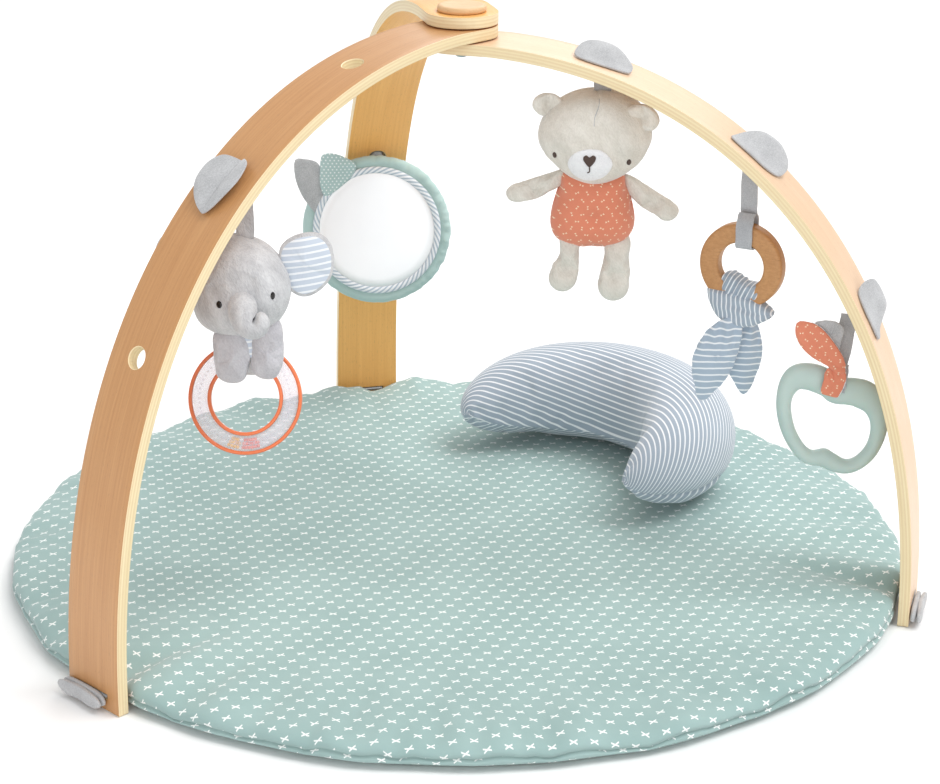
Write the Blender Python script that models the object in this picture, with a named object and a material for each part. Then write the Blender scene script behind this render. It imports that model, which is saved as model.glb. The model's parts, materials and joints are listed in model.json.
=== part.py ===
"""Baby activity gym.

A round padded mat, three bent plywood arms that meet on one hub bolt, five hanging toys
and a loose crescent pillow. Units are metres and +Z is up. The origin is on the floor
under the hub bolt. The viewer's side is -Y.
"""

import math

import bmesh
import bpy
from mathutils import Matrix, Vector

# Clearance kept between parts that touch.
GAP = 0.0003

# Mat
MAT_RADIUS = 0.4483
MAT_TOP = 0.030
BACKING_THICKNESS = 0.002
PIPING_RADIUS = 0.002
PIPING_HEIGHT = 0.0145
MAT_SIDES = 64

# Plywood arms: the outer surface is a superellipse quarter from the hub to the foot.
ARM_REACH = 0.4606
ARM_RISE = 0.5332
ARM_POWER = 2.23
PLY = 0.0106
ARM_HUB_WIDTH = 0.069
ARM_FOOT_WIDTH = 0.0715
ARM_WAIST = 0.0025
HUB_FLAT = 0.036
LEVEL_PITCH = 0.0121
ARM_ROWS = 26
ARM_AZIMUTH = {"right": 330.0, "left": 212.3, "rear": 91.0}
ARM_LEVEL = {"right": 0, "left": 1, "rear": 2}

# Toy holes, as distances along an arm from the hub's axis.
HOLE_STATIONS = (0.142, 0.315, 0.488)
HOLE_RADIUS = 0.010

# Foot slot, its strap and the felt toggle outside it
SLOT_WIDTH = 0.040
SLOT_OPENING = 0.005
SLOT_HEIGHT = 0.0135
FOOT_STRAP_WIDTH = 0.036
FOOT_STRAP_THICKNESS = 0.002
FOOT_STRAP_REACH_IN = 0.0014
FOOT_TOGGLE = (0.0120, 0.062, 0.014)
FOOT_TOGGLE_SHIFT = 0.009
FOOT_TOGGLE_HEIGHT = 0.0105

# Hub
BOLT_RADIUS = 0.0040
BOLT_HOLE_RADIUS = 0.0046
BOLT_HEAD_RADIUS = 0.0090
BOLT_HEAD_HEIGHT = 0.0022
WASHER_RADIUS = 0.0120
NUT_RADIUS = 0.0080
NUT_HEIGHT = 0.0080
CAP_RADIUS = 0.0235
CAP_HEIGHT = 0.0060

# Felt toggles and webbing of the toys
FELT = 0.0030
LEAF_LENGTH = 0.058
LEAF_WIDTH = 0.044
STEM_WIDTH = 0.014
STEM_THICKNESS = 0.003
HINGE_DROP = 0.008
STEM_SHORT = 0.0015
WEBBING_WIDTH = 0.016
WEBBING_THICKNESS = 0.0016
STRAP_START = 0.0020

# The toys face the viewer, a little off the -Y direction.
TOY_TURN = -13.0

# Rattle ring, held in front of the viewer by the elephant
RATTLE_CENTRE = Vector((0.0015, 0.006, -0.1925))
RATTLE_TILT = 20.0
RATTLE_OUTER = 0.0515
RATTLE_INNER = 0.0310
RATTLE_RIM = 0.0032
RATTLE_HALF_THICKNESS = 0.0055
RATTLE_RIM_HALF_THICKNESS = 0.0045

# Mirror
MIRROR_CENTRE = Vector((-0.001, -0.026, -0.0705))
MIRROR_TILT = 8.0
MIRROR_RADIUS = 0.084
MIRROR_BINDING_OUTER = 0.0720
MIRROR_BINDING_INNER = 0.0645

# Wooden ring
WOOD_RING_CENTRE = Vector((-0.0027, 0.0014, -0.0875))
WOOD_RING_TURN = -27.0
WOOD_RING_OUTER = 0.041
WOOD_RING_INNER = 0.0225
WOOD_RING_HALF_THICKNESS = 0.0075

# Apple teether
TEETHER_CENTRE = Vector((-0.011, 0.0, -0.1005))
TEETHER_HALF_WIDTH = 0.0465
TEETHER_HALF_HEIGHT = 0.0530
TEETHER_TUBE = 0.0070
TEETHER_DIP = 0.016

# Pillow: a tube swept round an arc on the mat
PILLOW_CENTRE = Vector((0.1354, 0.0909))
PILLOW_ARC_RADIUS = 0.1251
PILLOW_ARC_START = 131.0
PILLOW_ARC_END = -77.0
PILLOW_HALF_WIDTH = 0.0448
PILLOW_HALF_HEIGHT = 0.0502
PILLOW_END_POWER = 3.8
PILLOW_TAPER = 0.092
PILLOW_WIDTH_SWELL = 0.338
PILLOW_HEIGHT_SWELL = 0.155


# ---------------------------------------------------------------- scene helpers
def remove_everything():
    for obj in list(bpy.data.objects):
        bpy.data.objects.remove(obj, do_unlink=True)


def make_material(name, colour, roughness, metallic=0.0):
    material = bpy.data.materials.new(name)
    material.use_nodes = True
    shader = material.node_tree.nodes["Principled BSDF"]
    shader.inputs["Base Color"].default_value = (*colour, 1.0)
    shader.inputs["Roughness"].default_value = roughness
    shader.inputs["Metallic"].default_value = metallic
    material.diffuse_color = (*colour, 1.0)
    return material


def make_materials():
    table = {
        "sage_cotton": ((0.38, 0.54, 0.51), 0.85),
        "sage_backing": ((0.30, 0.42, 0.40), 0.90),
        "beech_ply": ((0.72, 0.50, 0.32), 0.45),
        "grey_felt": ((0.45, 0.46, 0.48), 0.95),
        "grey_webbing": ((0.30, 0.31, 0.33), 0.90),
        "elephant_plush": ((0.52, 0.52, 0.55), 0.95),
        "bear_plush": ((0.68, 0.65, 0.58), 0.95),
        "white_plush": ((0.85, 0.84, 0.80), 0.95),
        "coral_cotton": ((0.73, 0.27, 0.18), 0.85),
        "coral_plastic": ((0.85, 0.30, 0.20), 0.35),
        "lilac_plastic": ((0.80, 0.76, 0.88), 0.20),
        "brown_thread": ((0.07, 0.04, 0.03), 0.60),
        "blue_stripe": ((0.36, 0.44, 0.56), 0.85),
        "mirror_film": ((0.85, 0.86, 0.88), 0.08, 1.0),
        "beech_solid": ((0.62, 0.38, 0.20), 0.45),
        "sage_silicone": ((0.48, 0.62, 0.57), 0.40),
        "steel": ((0.62, 0.62, 0.64), 0.35, 1.0),
        "nylon": ((0.80, 0.79, 0.76), 0.50),
    }
    return {name: make_material(name, *values) for name, values in table.items()}


def make_empty(name, location, turn_degrees, parent=None):
    empty = bpy.data.objects.new(name, None)
    empty.location = location
    empty.rotation_euler.z = math.radians(turn_degrees)
    empty.parent = parent
    bpy.context.collection.objects.link(empty)
    return empty


def add_part(name, bm, material, parent=None, smooth=True):
    """Turn a bmesh into a named object and free it."""
    bmesh.ops.recalc_face_normals(bm, faces=bm.faces)
    mesh = bpy.data.meshes.new(name)
    bm.to_mesh(mesh)
    bm.free()
    mesh.materials.append(material)
    for polygon in mesh.polygons:
        polygon.use_smooth = smooth
    obj = bpy.data.objects.new(name, mesh)
    obj.parent = parent
    bpy.context.collection.objects.link(obj)
    return obj


def add_cutter(name, bm, parent=None):
    """Hidden shape that a Boolean takes away from a part."""
    bmesh.ops.recalc_face_normals(bm, faces=bm.faces)
    mesh = bpy.data.meshes.new(name)
    bm.to_mesh(mesh)
    bm.free()
    obj = bpy.data.objects.new(name, mesh)
    obj.parent = parent
    obj.hide_render = True
    obj.display_type = "WIRE"
    bpy.context.collection.objects.link(obj)
    return obj


def cut_away(part, cutter):
    modifier = part.modifiers.new("cut_" + cutter.name, "BOOLEAN")
    modifier.operation = "DIFFERENCE"
    modifier.solver = "EXACT"
    modifier.object = cutter


# ---------------------------------------------------------------- shape helpers
def join_rings(rings, closed_path=False):
    """Skin a list of equal point rings. The ends are capped unless the path is closed."""
    bm = bmesh.new()
    loops = [[bm.verts.new(point) for point in ring] for ring in rings]
    count = len(loops[0])
    pairs = list(zip(loops, loops[1:]))
    if closed_path:
        pairs.append((loops[-1], loops[0]))
    for first, second in pairs:
        for i in range(count):
            j = (i + 1) % count
            bm.faces.new((first[i], first[j], second[j], second[i]))
    if not closed_path:
        bm.faces.new(loops[0])
        bm.faces.new(loops[-1])
    return bm


def lathe(profile, sides, closed_profile=False, matrix=Matrix()):
    """Spin (radius, height) points about Z. An open profile starts and ends on the axis."""
    bm = bmesh.new()
    verts = [bm.verts.new((radius, 0.0, height)) for radius, height in profile]
    edges = [bm.edges.new(pair) for pair in zip(verts, verts[1:])]
    if closed_profile:
        edges.append(bm.edges.new((verts[-1], verts[0])))
    bmesh.ops.spin(
        bm,
        geom=verts + edges,
        cent=(0.0, 0.0, 0.0),
        axis=(0.0, 0.0, 1.0),
        angle=2.0 * math.pi,
        steps=sides,
        use_merge=True,
    )
    bmesh.ops.remove_doubles(bm, verts=bm.verts, dist=1e-6)
    bmesh.ops.transform(bm, matrix=matrix, verts=bm.verts)
    return bm


def box(size, matrix=Matrix()):
    bm = bmesh.new()
    scale = Matrix.Diagonal((*size, 1.0))
    bmesh.ops.create_cube(bm, size=1.0, matrix=matrix @ scale)
    return bm


def ellipsoid(centre, radii, roll_degrees=0.0, grow=0.0, taper=0.0, sides=14, rings=9):
    """Soft round solid. Roll turns it about Y; a positive taper narrows its top."""
    bm = bmesh.new()
    bmesh.ops.create_uvsphere(bm, u_segments=sides, v_segments=rings, radius=1.0)
    for vert in bm.verts:
        vert.co.x *= 1.0 - taper * vert.co.z
    scale = Matrix.Diagonal((*(radius + grow for radius in radii), 1.0))
    roll = Matrix.Rotation(math.radians(roll_degrees), 4, "Y")
    place = Matrix.Translation(centre) @ roll @ scale
    bmesh.ops.transform(bm, matrix=place, verts=bm.verts)
    return bm


def facing_viewer(centre, tilt_degrees=0.0, turn_degrees=0.0):
    """Matrix that turns a lathed disc's axis towards the viewer, leaning back by tilt."""
    turn = Matrix.Rotation(math.radians(turn_degrees), 4, "Z")
    lean = Matrix.Rotation(math.radians(90.0 - tilt_degrees), 4, "X")
    return Matrix.Translation(centre) @ turn @ lean


def band(path, width, thickness, matrix=Matrix(), closed_path=False):
    """Flat webbing that follows (y, z) points and is `width` wide along X."""
    rings = []
    count = len(path)
    for i, (y, z) in enumerate(path):
        if closed_path:
            before, after = path[i - 1], path[(i + 1) % count]
        else:
            before, after = path[max(i - 1, 0)], path[min(i + 1, count - 1)]
        along = Vector((after[0] - before[0], after[1] - before[1])).normalized()
        side = Vector((-along.y, along.x)) * (thickness / 2)
        half = width / 2
        ring = [
            (-half, y + side.x, z + side.y),
            (half, y + side.x, z + side.y),
            (half, y - side.x, z - side.y),
            (-half, y - side.x, z - side.y),
        ]
        rings.append([matrix @ Vector(point) for point in ring])
    return join_rings(rings, closed_path)


def leaf(base, tip, width, thickness, depth, rows=7, fullest=0.45):
    """Flat leaf in the XZ plane from base to tip, both (x, z), centred on y = depth."""
    base = Vector(base)
    tip = Vector(tip)
    across = Vector((-(tip - base).y, (tip - base).x)).normalized()
    rings = []
    for i in range(rows):
        t = 0.04 + 0.92 * i / (rows - 1)
        if t < fullest:
            swell = math.sin(0.5 * math.pi * t / fullest)
        else:
            swell = math.cos(0.5 * math.pi * (t - fullest) / (1.0 - fullest))
        half = 0.5 * width * max(swell, 0.12)
        middle = base.lerp(tip, t)
        left = middle + across * half
        right = middle - across * half
        rings.append(
            [
                (left.x, depth - thickness / 2, left.y),
                (right.x, depth - thickness / 2, right.y),
                (right.x, depth + thickness / 2, right.y),
                (left.x, depth + thickness / 2, left.y),
            ]
        )
    return join_rings(rings)


# ---------------------------------------------------------------- arm geometry
def arm_curve(level, steps=500):
    """Outer surface of an arm as rows of (distance from the hub, reach, height)."""
    rise = ARM_RISE + LEVEL_PITCH * level
    rows = []
    distance = 0.0
    for i in range(steps + 1):
        angle = 0.5 * math.pi * i / steps
        reach = ARM_REACH * math.sin(angle) ** (2 / ARM_POWER)
        height = rise * max(math.cos(angle), 0.0) ** (2 / ARM_POWER)
        if rows:
            distance += math.hypot(reach - rows[-1][1], height - rows[-1][2])
        rows.append((distance, reach, height))
    return rows


def plate_height(level):
    """Top of the flat round end of an arm."""
    rise = ARM_RISE + LEVEL_PITCH * level
    return rise * (1.0 - (HUB_FLAT / ARM_REACH) ** ARM_POWER) ** (1 / ARM_POWER)


def arm_station(curve, distance):
    """Point on the outer surface and its outward normal, in the arm's own XZ plane."""
    for first, second in zip(curve, curve[1:]):
        if second[0] >= distance:
            break
    span = second[0] - first[0]
    t = (distance - first[0]) / span
    point = Vector((first[1] + t * (second[1] - first[1]), 0.0, first[2] + t * (second[2] - first[2])))
    normal = Vector((first[2] - second[2], 0.0, second[1] - first[1])).normalized()
    return point, normal


def arm_width(share):
    """Width at a share of the arm's length: a slight waist between hub and foot."""
    straight = ARM_HUB_WIDTH + (ARM_FOOT_WIDTH - ARM_HUB_WIDTH) * share
    return straight - ARM_WAIST * 4.0 * share * (1.0 - share)


def arm_body(level):
    """Bent plywood strip with a round end about the hub's axis."""
    curve = arm_curve(level)
    length = curve[-1][0]
    top = plate_height(level)
    up = Vector((0.0, 0.0, 1.0))
    half = ARM_HUB_WIDTH / 2
    rows = [(Vector((0.0, 0.0, top)), up, half), (Vector((HUB_FLAT, 0.0, top)), up, half)]
    start = HUB_FLAT
    for i in range(1, ARM_ROWS + 1):
        distance = start + (length - start) * i / ARM_ROWS
        point, normal = arm_station(curve, distance)
        if i == ARM_ROWS:
            point, normal = Vector((ARM_REACH, 0.0, 0.0)), Vector((1.0, 0.0, 0.0))
        rows.append((point, normal, arm_width(distance / length) / 2))
    rings = []
    for point, normal, half_width in rows:
        side = Vector((0.0, half_width, 0.0))
        inner = point - normal * PLY
        rings.append([point + side, point - side, inner - side, inner + side])
    bm = join_rings(rings)
    round_off_hub_end(bm, top)
    return bm


def round_off_hub_end(bm, top):
    """Push the flat hub end out into a half disc."""
    bm.faces.ensure_lookup_table()
    end = next(f for f in bm.faces if all(abs(v.co.x) < 1e-7 for v in f.verts))
    steps = 8
    radius = ARM_HUB_WIDTH / 2
    verticals = [e for e in end.edges if abs(e.verts[0].co.z - e.verts[1].co.z) > 1e-6]
    bmesh.ops.delete(bm, geom=[end], context="FACES_ONLY")
    columns = []
    for i in range(1, steps):
        angle = math.pi * (0.5 + i / steps)
        x = radius * math.cos(angle)
        y = radius * math.sin(angle)
        columns.append((bm.verts.new((x, y, top)), bm.verts.new((x, y, top - PLY))))
    corners = {}
    for edge in verticals:
        upper, lower = sorted(edge.verts, key=lambda v: -v.co.z)
        corners[upper.co.y > 0.0] = (upper, lower)
    columns = [corners[True]] + columns + [corners[False]]
    for (top_a, low_a), (top_b, low_b) in zip(columns, columns[1:]):
        bm.faces.new((top_a, top_b, low_b, low_a))
    bm.faces.new([column[0] for column in columns])
    bm.faces.new([column[1] for column in columns])


def arm_cutter(level):
    """Toy holes, the bolt hole and the foot slot of one arm."""
    curve = arm_curve(level)
    bm = bmesh.new()
    for distance in HOLE_STATIONS:
        point, normal = arm_station(curve, distance)
        tilt = Matrix.Rotation(math.atan2(normal.x, normal.z), 4, "Y")
        place = Matrix.Translation(point - normal * (PLY / 2)) @ tilt
        add_cylinder(bm, HOLE_RADIUS, 3.0 * PLY, place, 18)
    middle = Matrix.Translation((0.0, 0.0, plate_height(level) - PLY / 2))
    add_cylinder(bm, BOLT_HOLE_RADIUS, 3.0 * PLY, middle, 12)
    slot = Matrix.Translation((ARM_REACH - PLY / 2, 0.0, SLOT_HEIGHT))
    size = Matrix.Diagonal((3.0 * PLY, SLOT_WIDTH, SLOT_OPENING, 1.0))
    bmesh.ops.create_cube(bm, size=1.0, matrix=slot @ size)
    return bm


def add_cylinder(bm, radius, depth, matrix, sides):
    bmesh.ops.create_cone(
        bm,
        cap_ends=True,
        segments=sides,
        radius1=radius,
        radius2=radius,
        depth=depth,
        matrix=matrix,
    )


def make_arm(side, material):
    level = ARM_LEVEL[side]
    frame = make_empty(f"{side}_arm_axis", (0.0, 0.0, 0.0), ARM_AZIMUTH[side])
    arm = add_part(f"arm_{side}", arm_body(level), material, frame, smooth=False)
    cutter = add_cutter(f"arm_{side}_cutter", arm_cutter(level), frame)
    cut_away(arm, cutter)
    return frame


def make_foot_fastening(side, frame, felt, webbing):
    """Strap from the mat through the foot's slot, and the felt toggle outside."""
    inner = ARM_REACH - PLY - FOOT_STRAP_REACH_IN
    outer = ARM_REACH + GAP
    place = Matrix.Translation(((inner + outer) / 2, 0.0, SLOT_HEIGHT))
    size = (outer - inner, FOOT_STRAP_WIDTH, FOOT_STRAP_THICKNESS)
    add_part(f"foot_strap_{side}", box(size, place), webbing, frame, smooth=False)
    depth = FOOT_TOGGLE[0]
    place = Matrix.Translation((outer + GAP + depth / 2, -FOOT_TOGGLE_SHIFT, FOOT_TOGGLE_HEIGHT))
    toggle = add_part(f"foot_toggle_{side}", box(FOOT_TOGGLE, place), felt, frame)
    bevel = toggle.modifiers.new("soft_edges", "BEVEL")
    bevel.width = 0.002
    bevel.segments = 2


def toggle_leaf(level, distance):
    """Felt leaf on the arm's outer face, with a stem that goes down through the hole."""
    curve = arm_curve(level)
    point, normal = arm_station(curve, distance)
    shares = (-0.5, -0.36, -0.18, -0.5 * STEM_THICKNESS / LEAF_LENGTH)
    shares = shares + tuple(-share for share in reversed(shares))
    bm = bmesh.new()
    grid = []
    for share in shares:
        local, local_normal = arm_station(curve, distance + share * LEAF_LENGTH)
        half = 0.5 * LEAF_WIDTH * max(math.cos(math.pi * share) ** 0.7, 0.12)
        row = []
        for y in (-half, -STEM_WIDTH / 2, STEM_WIDTH / 2, half):
            y = max(-half, min(half, y))
            side = Vector((0.0, y, 0.0))
            low = bm.verts.new(local + side + local_normal * GAP)
            high = bm.verts.new(local + side + local_normal * (GAP + FELT))
            row.append((low, high))
        grid.append(row)
    skin_slab(bm, grid)
    bmesh.ops.remove_doubles(bm, verts=bm.verts, dist=1e-6)
    bmesh.ops.dissolve_degenerate(bm, edges=bm.edges, dist=1e-6)
    push_out_stem(bm, point, normal)
    return bm


def skin_slab(bm, grid):
    """Faces of a slab whose grid holds (low, high) vertex pairs."""
    rows = len(grid)
    columns = len(grid[0])
    for i in range(rows - 1):
        for j in range(columns - 1):
            quad = (grid[i][j], grid[i][j + 1], grid[i + 1][j + 1], grid[i + 1][j])
            bm.faces.new([pair[0] for pair in quad])
            bm.faces.new([pair[1] for pair in quad])
    border = [grid[0][j] for j in range(columns)]
    border += [grid[i][columns - 1] for i in range(1, rows)]
    border += [grid[rows - 1][j] for j in range(columns - 2, -1, -1)]
    border += [grid[i][0] for i in range(rows - 2, 0, -1)]
    for first, second in zip(border, border[1:] + border[:1]):
        bm.faces.new((first[0], second[0], second[1], first[1]))


def push_out_stem(bm, point, normal):
    """Extrude the leaf's middle underside face down through the arm."""
    target = point + normal * GAP
    under = min(bm.faces, key=lambda f: (f.calc_center_median() - target).length)
    result = bmesh.ops.extrude_face_region(bm, geom=[under])
    moved = [item for item in result["geom"] if isinstance(item, bmesh.types.BMVert)]
    travel = -normal * (GAP + PLY + HINGE_DROP - STEM_SHORT)
    bmesh.ops.translate(bm, verts=moved, vec=travel)
    if under.is_valid:
        bmesh.ops.delete(bm, geom=[under], context="FACES_ONLY")


def hinge_point(side, hole):
    """World point where a toy's strap bends below its hole."""
    curve = arm_curve(ARM_LEVEL[side])
    point, normal = arm_station(curve, HOLE_STATIONS[hole])
    local = point - normal * (PLY + HINGE_DROP)
    return Matrix.Rotation(math.radians(ARM_AZIMUTH[side]), 3, "Z") @ local


# ---------------------------------------------------------------- mat and hub
def make_mat(materials):
    rim = MAT_RADIUS - 2.0 * PIPING_RADIUS - GAP
    backing = [(0.0, 0.0), (0.436, 0.0), (0.437, BACKING_THICKNESS), (0.0, BACKING_THICKNESS)]
    add_part("mat_backing", lathe(backing, MAT_SIDES), materials["sage_backing"], smooth=False)
    low = BACKING_THICKNESS + GAP
    pad = [
        (0.0, low),
        (0.438, low),
        (0.4425, 0.006),
        (rim, 0.011),
        (rim, 0.018),
        (0.440, 0.0225),
        (0.425, 0.0265),
        (0.390, 0.0290),
        (0.300, MAT_TOP),
        (0.0, MAT_TOP),
    ]
    add_part("mat_pad", lathe(pad, MAT_SIDES), materials["sage_cotton"])
    middle = MAT_RADIUS - PIPING_RADIUS
    circle = []
    for i in range(6):
        angle = math.pi * i / 3
        circle.append((middle + PIPING_RADIUS * math.cos(angle), PIPING_HEIGHT + PIPING_RADIUS * math.sin(angle)))
    add_part("mat_piping", lathe(circle, MAT_SIDES, closed_profile=True), materials["sage_cotton"])


def make_hub(materials):
    plates = [plate_height(level) for level in range(3)]
    for name, upper in (("hub_washer_low", plates[0]), ("hub_washer_high", plates[1])):
        low = upper + GAP
        high = upper + (plates[1] - plates[0]) - PLY - GAP
        ring = [(BOLT_HOLE_RADIUS, low), (WASHER_RADIUS, low), (WASHER_RADIUS, high), (BOLT_HOLE_RADIUS, high)]
        add_part(name, lathe(ring, 20, closed_profile=True), materials["nylon"], smooth=False)
    under = plates[0] - PLY - GAP
    seat = plates[2] + GAP
    make_bolt(under, seat, materials["steel"])
    make_nut(under, materials["steel"])
    make_cap(seat, materials["beech_solid"])


def make_bolt(under, seat, steel):
    tip = under - NUT_HEIGHT + 0.002
    profile = [
        (0.0, tip),
        (BOLT_RADIUS, tip),
        (BOLT_RADIUS, seat),
        (BOLT_HEAD_RADIUS, seat),
        (BOLT_HEAD_RADIUS, seat + BOLT_HEAD_HEIGHT),
        (0.0, seat + BOLT_HEAD_HEIGHT),
    ]
    add_part("hub_bolt", lathe(profile, 16), steel, smooth=False)


def make_nut(under, steel):
    """Blind dome nut on the bolt's lower end."""
    bottom = under - NUT_HEIGHT
    bore = BOLT_RADIUS + GAP
    profile = [
        (0.0, bottom),
        (0.6 * NUT_RADIUS, bottom),
        (NUT_RADIUS, bottom + 0.003),
        (NUT_RADIUS, under),
        (bore, under),
        (bore, bottom + 0.0015),
        (0.0, bottom + 0.0015),
    ]
    add_part("hub_nut", lathe(profile, 16), steel, smooth=False)


def make_cap(seat, wood):
    """Turned wooden disc that hides the bolt's head."""
    recess_radius = BOLT_HEAD_RADIUS + GAP
    recess_top = seat + BOLT_HEAD_HEIGHT + GAP
    top = seat + CAP_HEIGHT
    profile = [
        (0.0, recess_top),
        (recess_radius, recess_top),
        (recess_radius, seat),
        (CAP_RADIUS, seat),
        (CAP_RADIUS, top - 0.0015),
        (CAP_RADIUS - 0.0015, top),
        (0.0, top),
    ]
    add_part("hub_cap", lathe(profile, 32), wood, smooth=False)


# ---------------------------------------------------------------- toys
def toy_frame(name, side, hole):
    return make_empty(f"{name}_axis", hinge_point(side, hole), TOY_TURN)


def make_toy_toggle(name, side, hole, frame, felt):
    bm = toggle_leaf(ARM_LEVEL[side], HOLE_STATIONS[hole])
    add_part(f"leaf_toggle_{name}", bm, felt, frame, smooth=False)


def strap_to(bottom, depth_at_bottom=0.0):
    """Straight webbing from the hinge down to a height below it."""
    return band(((0.0, -STRAP_START), (depth_at_bottom, bottom)), WEBBING_WIDTH, WEBBING_THICKNESS)


def make_elephant(frame, materials):
    plush = materials["elephant_plush"]
    head = dict(centre=(0.004, 0.0, -0.082), radii=(0.044, 0.038, 0.0424), roll_degrees=-9.0)
    head_room = add_cutter("elephant_head_room", ellipsoid(**head, grow=GAP * 2), frame)
    trunk = dict(centre=(0.0160, -0.0400, -0.0975), radii=(0.0150, 0.0160, 0.0185))
    strap = strap_to(-0.082 + 0.0424 + 2 * GAP)
    add_part("elephant_strap", strap, materials["grey_webbing"], frame, smooth=False)
    add_part("elephant_head", ellipsoid(**head), plush, frame)
    pieces = [add_part("elephant_trunk", ellipsoid(**trunk), plush, frame)]
    for side, x, roll in (("left", -0.050, -8.0), ("right", 0.058, -2.0)):
        ear = ellipsoid((x, 0.006, -0.066), (0.0235, 0.0065, 0.030), roll)
        pieces.append(add_part(f"elephant_ear_{side}", ear, plush, frame))
    for side, x, z in (("left", -0.0075, -0.146), ("right", 0.0250, -0.142)):
        paw = ellipsoid((x, -0.010, z), (0.0155, 0.0115, 0.025))
        pieces.append(add_part(f"elephant_paw_{side}", paw, plush, frame))
    for piece in pieces:
        cut_away(piece, head_room)


def make_rattle(elephant_frame, materials):
    """Ring toy that spins in a loop behind the elephant's paws."""
    loop = []
    for i in range(16):
        angle = 2.0 * math.pi * i / 16
        loop.append((0.0195 + 0.0148 * math.cos(angle), -0.1467 + 0.0268 * math.sin(angle)))
    shift = Matrix.Translation((0.006, 0.0, 0.0))
    loop_band = band(loop, 0.014, WEBBING_THICKNESS, shift, closed_path=True)
    add_part("rattle_loop", loop_band, materials["elephant_plush"], elephant_frame)
    frame = make_empty("rattle_axis", RATTLE_CENTRE, 0.0, elephant_frame)
    lean = facing_viewer((0.0, 0.0, 0.0), RATTLE_TILT)
    inner = RATTLE_INNER + RATTLE_RIM
    outer = RATTLE_OUTER - RATTLE_RIM
    rings = (
        ("rattle_tube", inner + GAP, outer - GAP, RATTLE_HALF_THICKNESS, "lilac_plastic"),
        ("rattle_rim_outer", outer, RATTLE_OUTER, RATTLE_RIM_HALF_THICKNESS, "coral_plastic"),
        ("rattle_rim_inner", RATTLE_INNER, inner, RATTLE_RIM_HALF_THICKNESS, "coral_plastic"),
    )
    for name, low, high, half, finish in rings:
        profile = rounded_section(low, high, half, 0.0012)
        add_part(name, lathe(profile, 32, True, lean), materials[finish], frame)


def rounded_section(low, high, half, corner):
    """Rectangle with cut corners between two radii, as a closed lathe profile."""
    return [
        (low + corner, -half),
        (high - corner, -half),
        (high, -half + corner),
        (high, half - corner),
        (high - corner, half),
        (low + corner, half),
        (low, half - corner),
        (low, -half + corner),
    ]


def make_mirror(frame, materials):
    place = facing_viewer(MIRROR_CENTRE, MIRROR_TILT)
    strap = band(((0.0, -STRAP_START), (-0.0080, -0.0200)), WEBBING_WIDTH, WEBBING_THICKNESS)
    add_part("mirror_strap", strap, materials["grey_webbing"], frame, smooth=False)
    pad = [
        (0.0, -0.009),
        (MIRROR_RADIUS - 0.006, -0.009),
        (MIRROR_RADIUS, -0.004),
        (MIRROR_RADIUS, 0.001),
        (MIRROR_RADIUS - 0.005, 0.005),
        (0.0, 0.005),
    ]
    add_part("mirror_pad", lathe(pad, 40, matrix=place), materials["sage_cotton"], frame)
    low = 0.005 + GAP
    binding = [
        (MIRROR_BINDING_INNER, low),
        (MIRROR_BINDING_OUTER, low),
        (MIRROR_BINDING_OUTER - 0.001, 0.0080),
        (MIRROR_BINDING_INNER + 0.001, 0.0090),
    ]
    add_part("mirror_binding", lathe(binding, 40, True, place), materials["blue_stripe"], frame)
    edge = MIRROR_BINDING_INNER - GAP
    glass = [(0.0, low), (edge, low), (edge, 0.0070), (0.0, 0.0070)]
    add_part("mirror_glass", lathe(glass, 40, matrix=place), materials["mirror_film"], frame, smooth=False)
    lean = Matrix.Translation(MIRROR_CENTRE) @ Matrix.Rotation(math.radians(-MIRROR_TILT), 4, "X")
    leaves = (
        ("mirror_leaf_grey", (-0.0650, 0.0360), (-0.0890, 0.0800), 0.034, "grey_felt"),
        ("mirror_leaf_sage", (-0.0440, 0.0600), (-0.0510, 0.0890), 0.034, "sage_cotton"),
    )
    for name, base, tip, width, finish in leaves:
        bm = leaf(base, tip, width, 0.0024, -0.0068)
        bmesh.ops.transform(bm, matrix=lean, verts=bm.verts)
        add_part(name, bm, materials[finish], frame, smooth=False)


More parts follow.
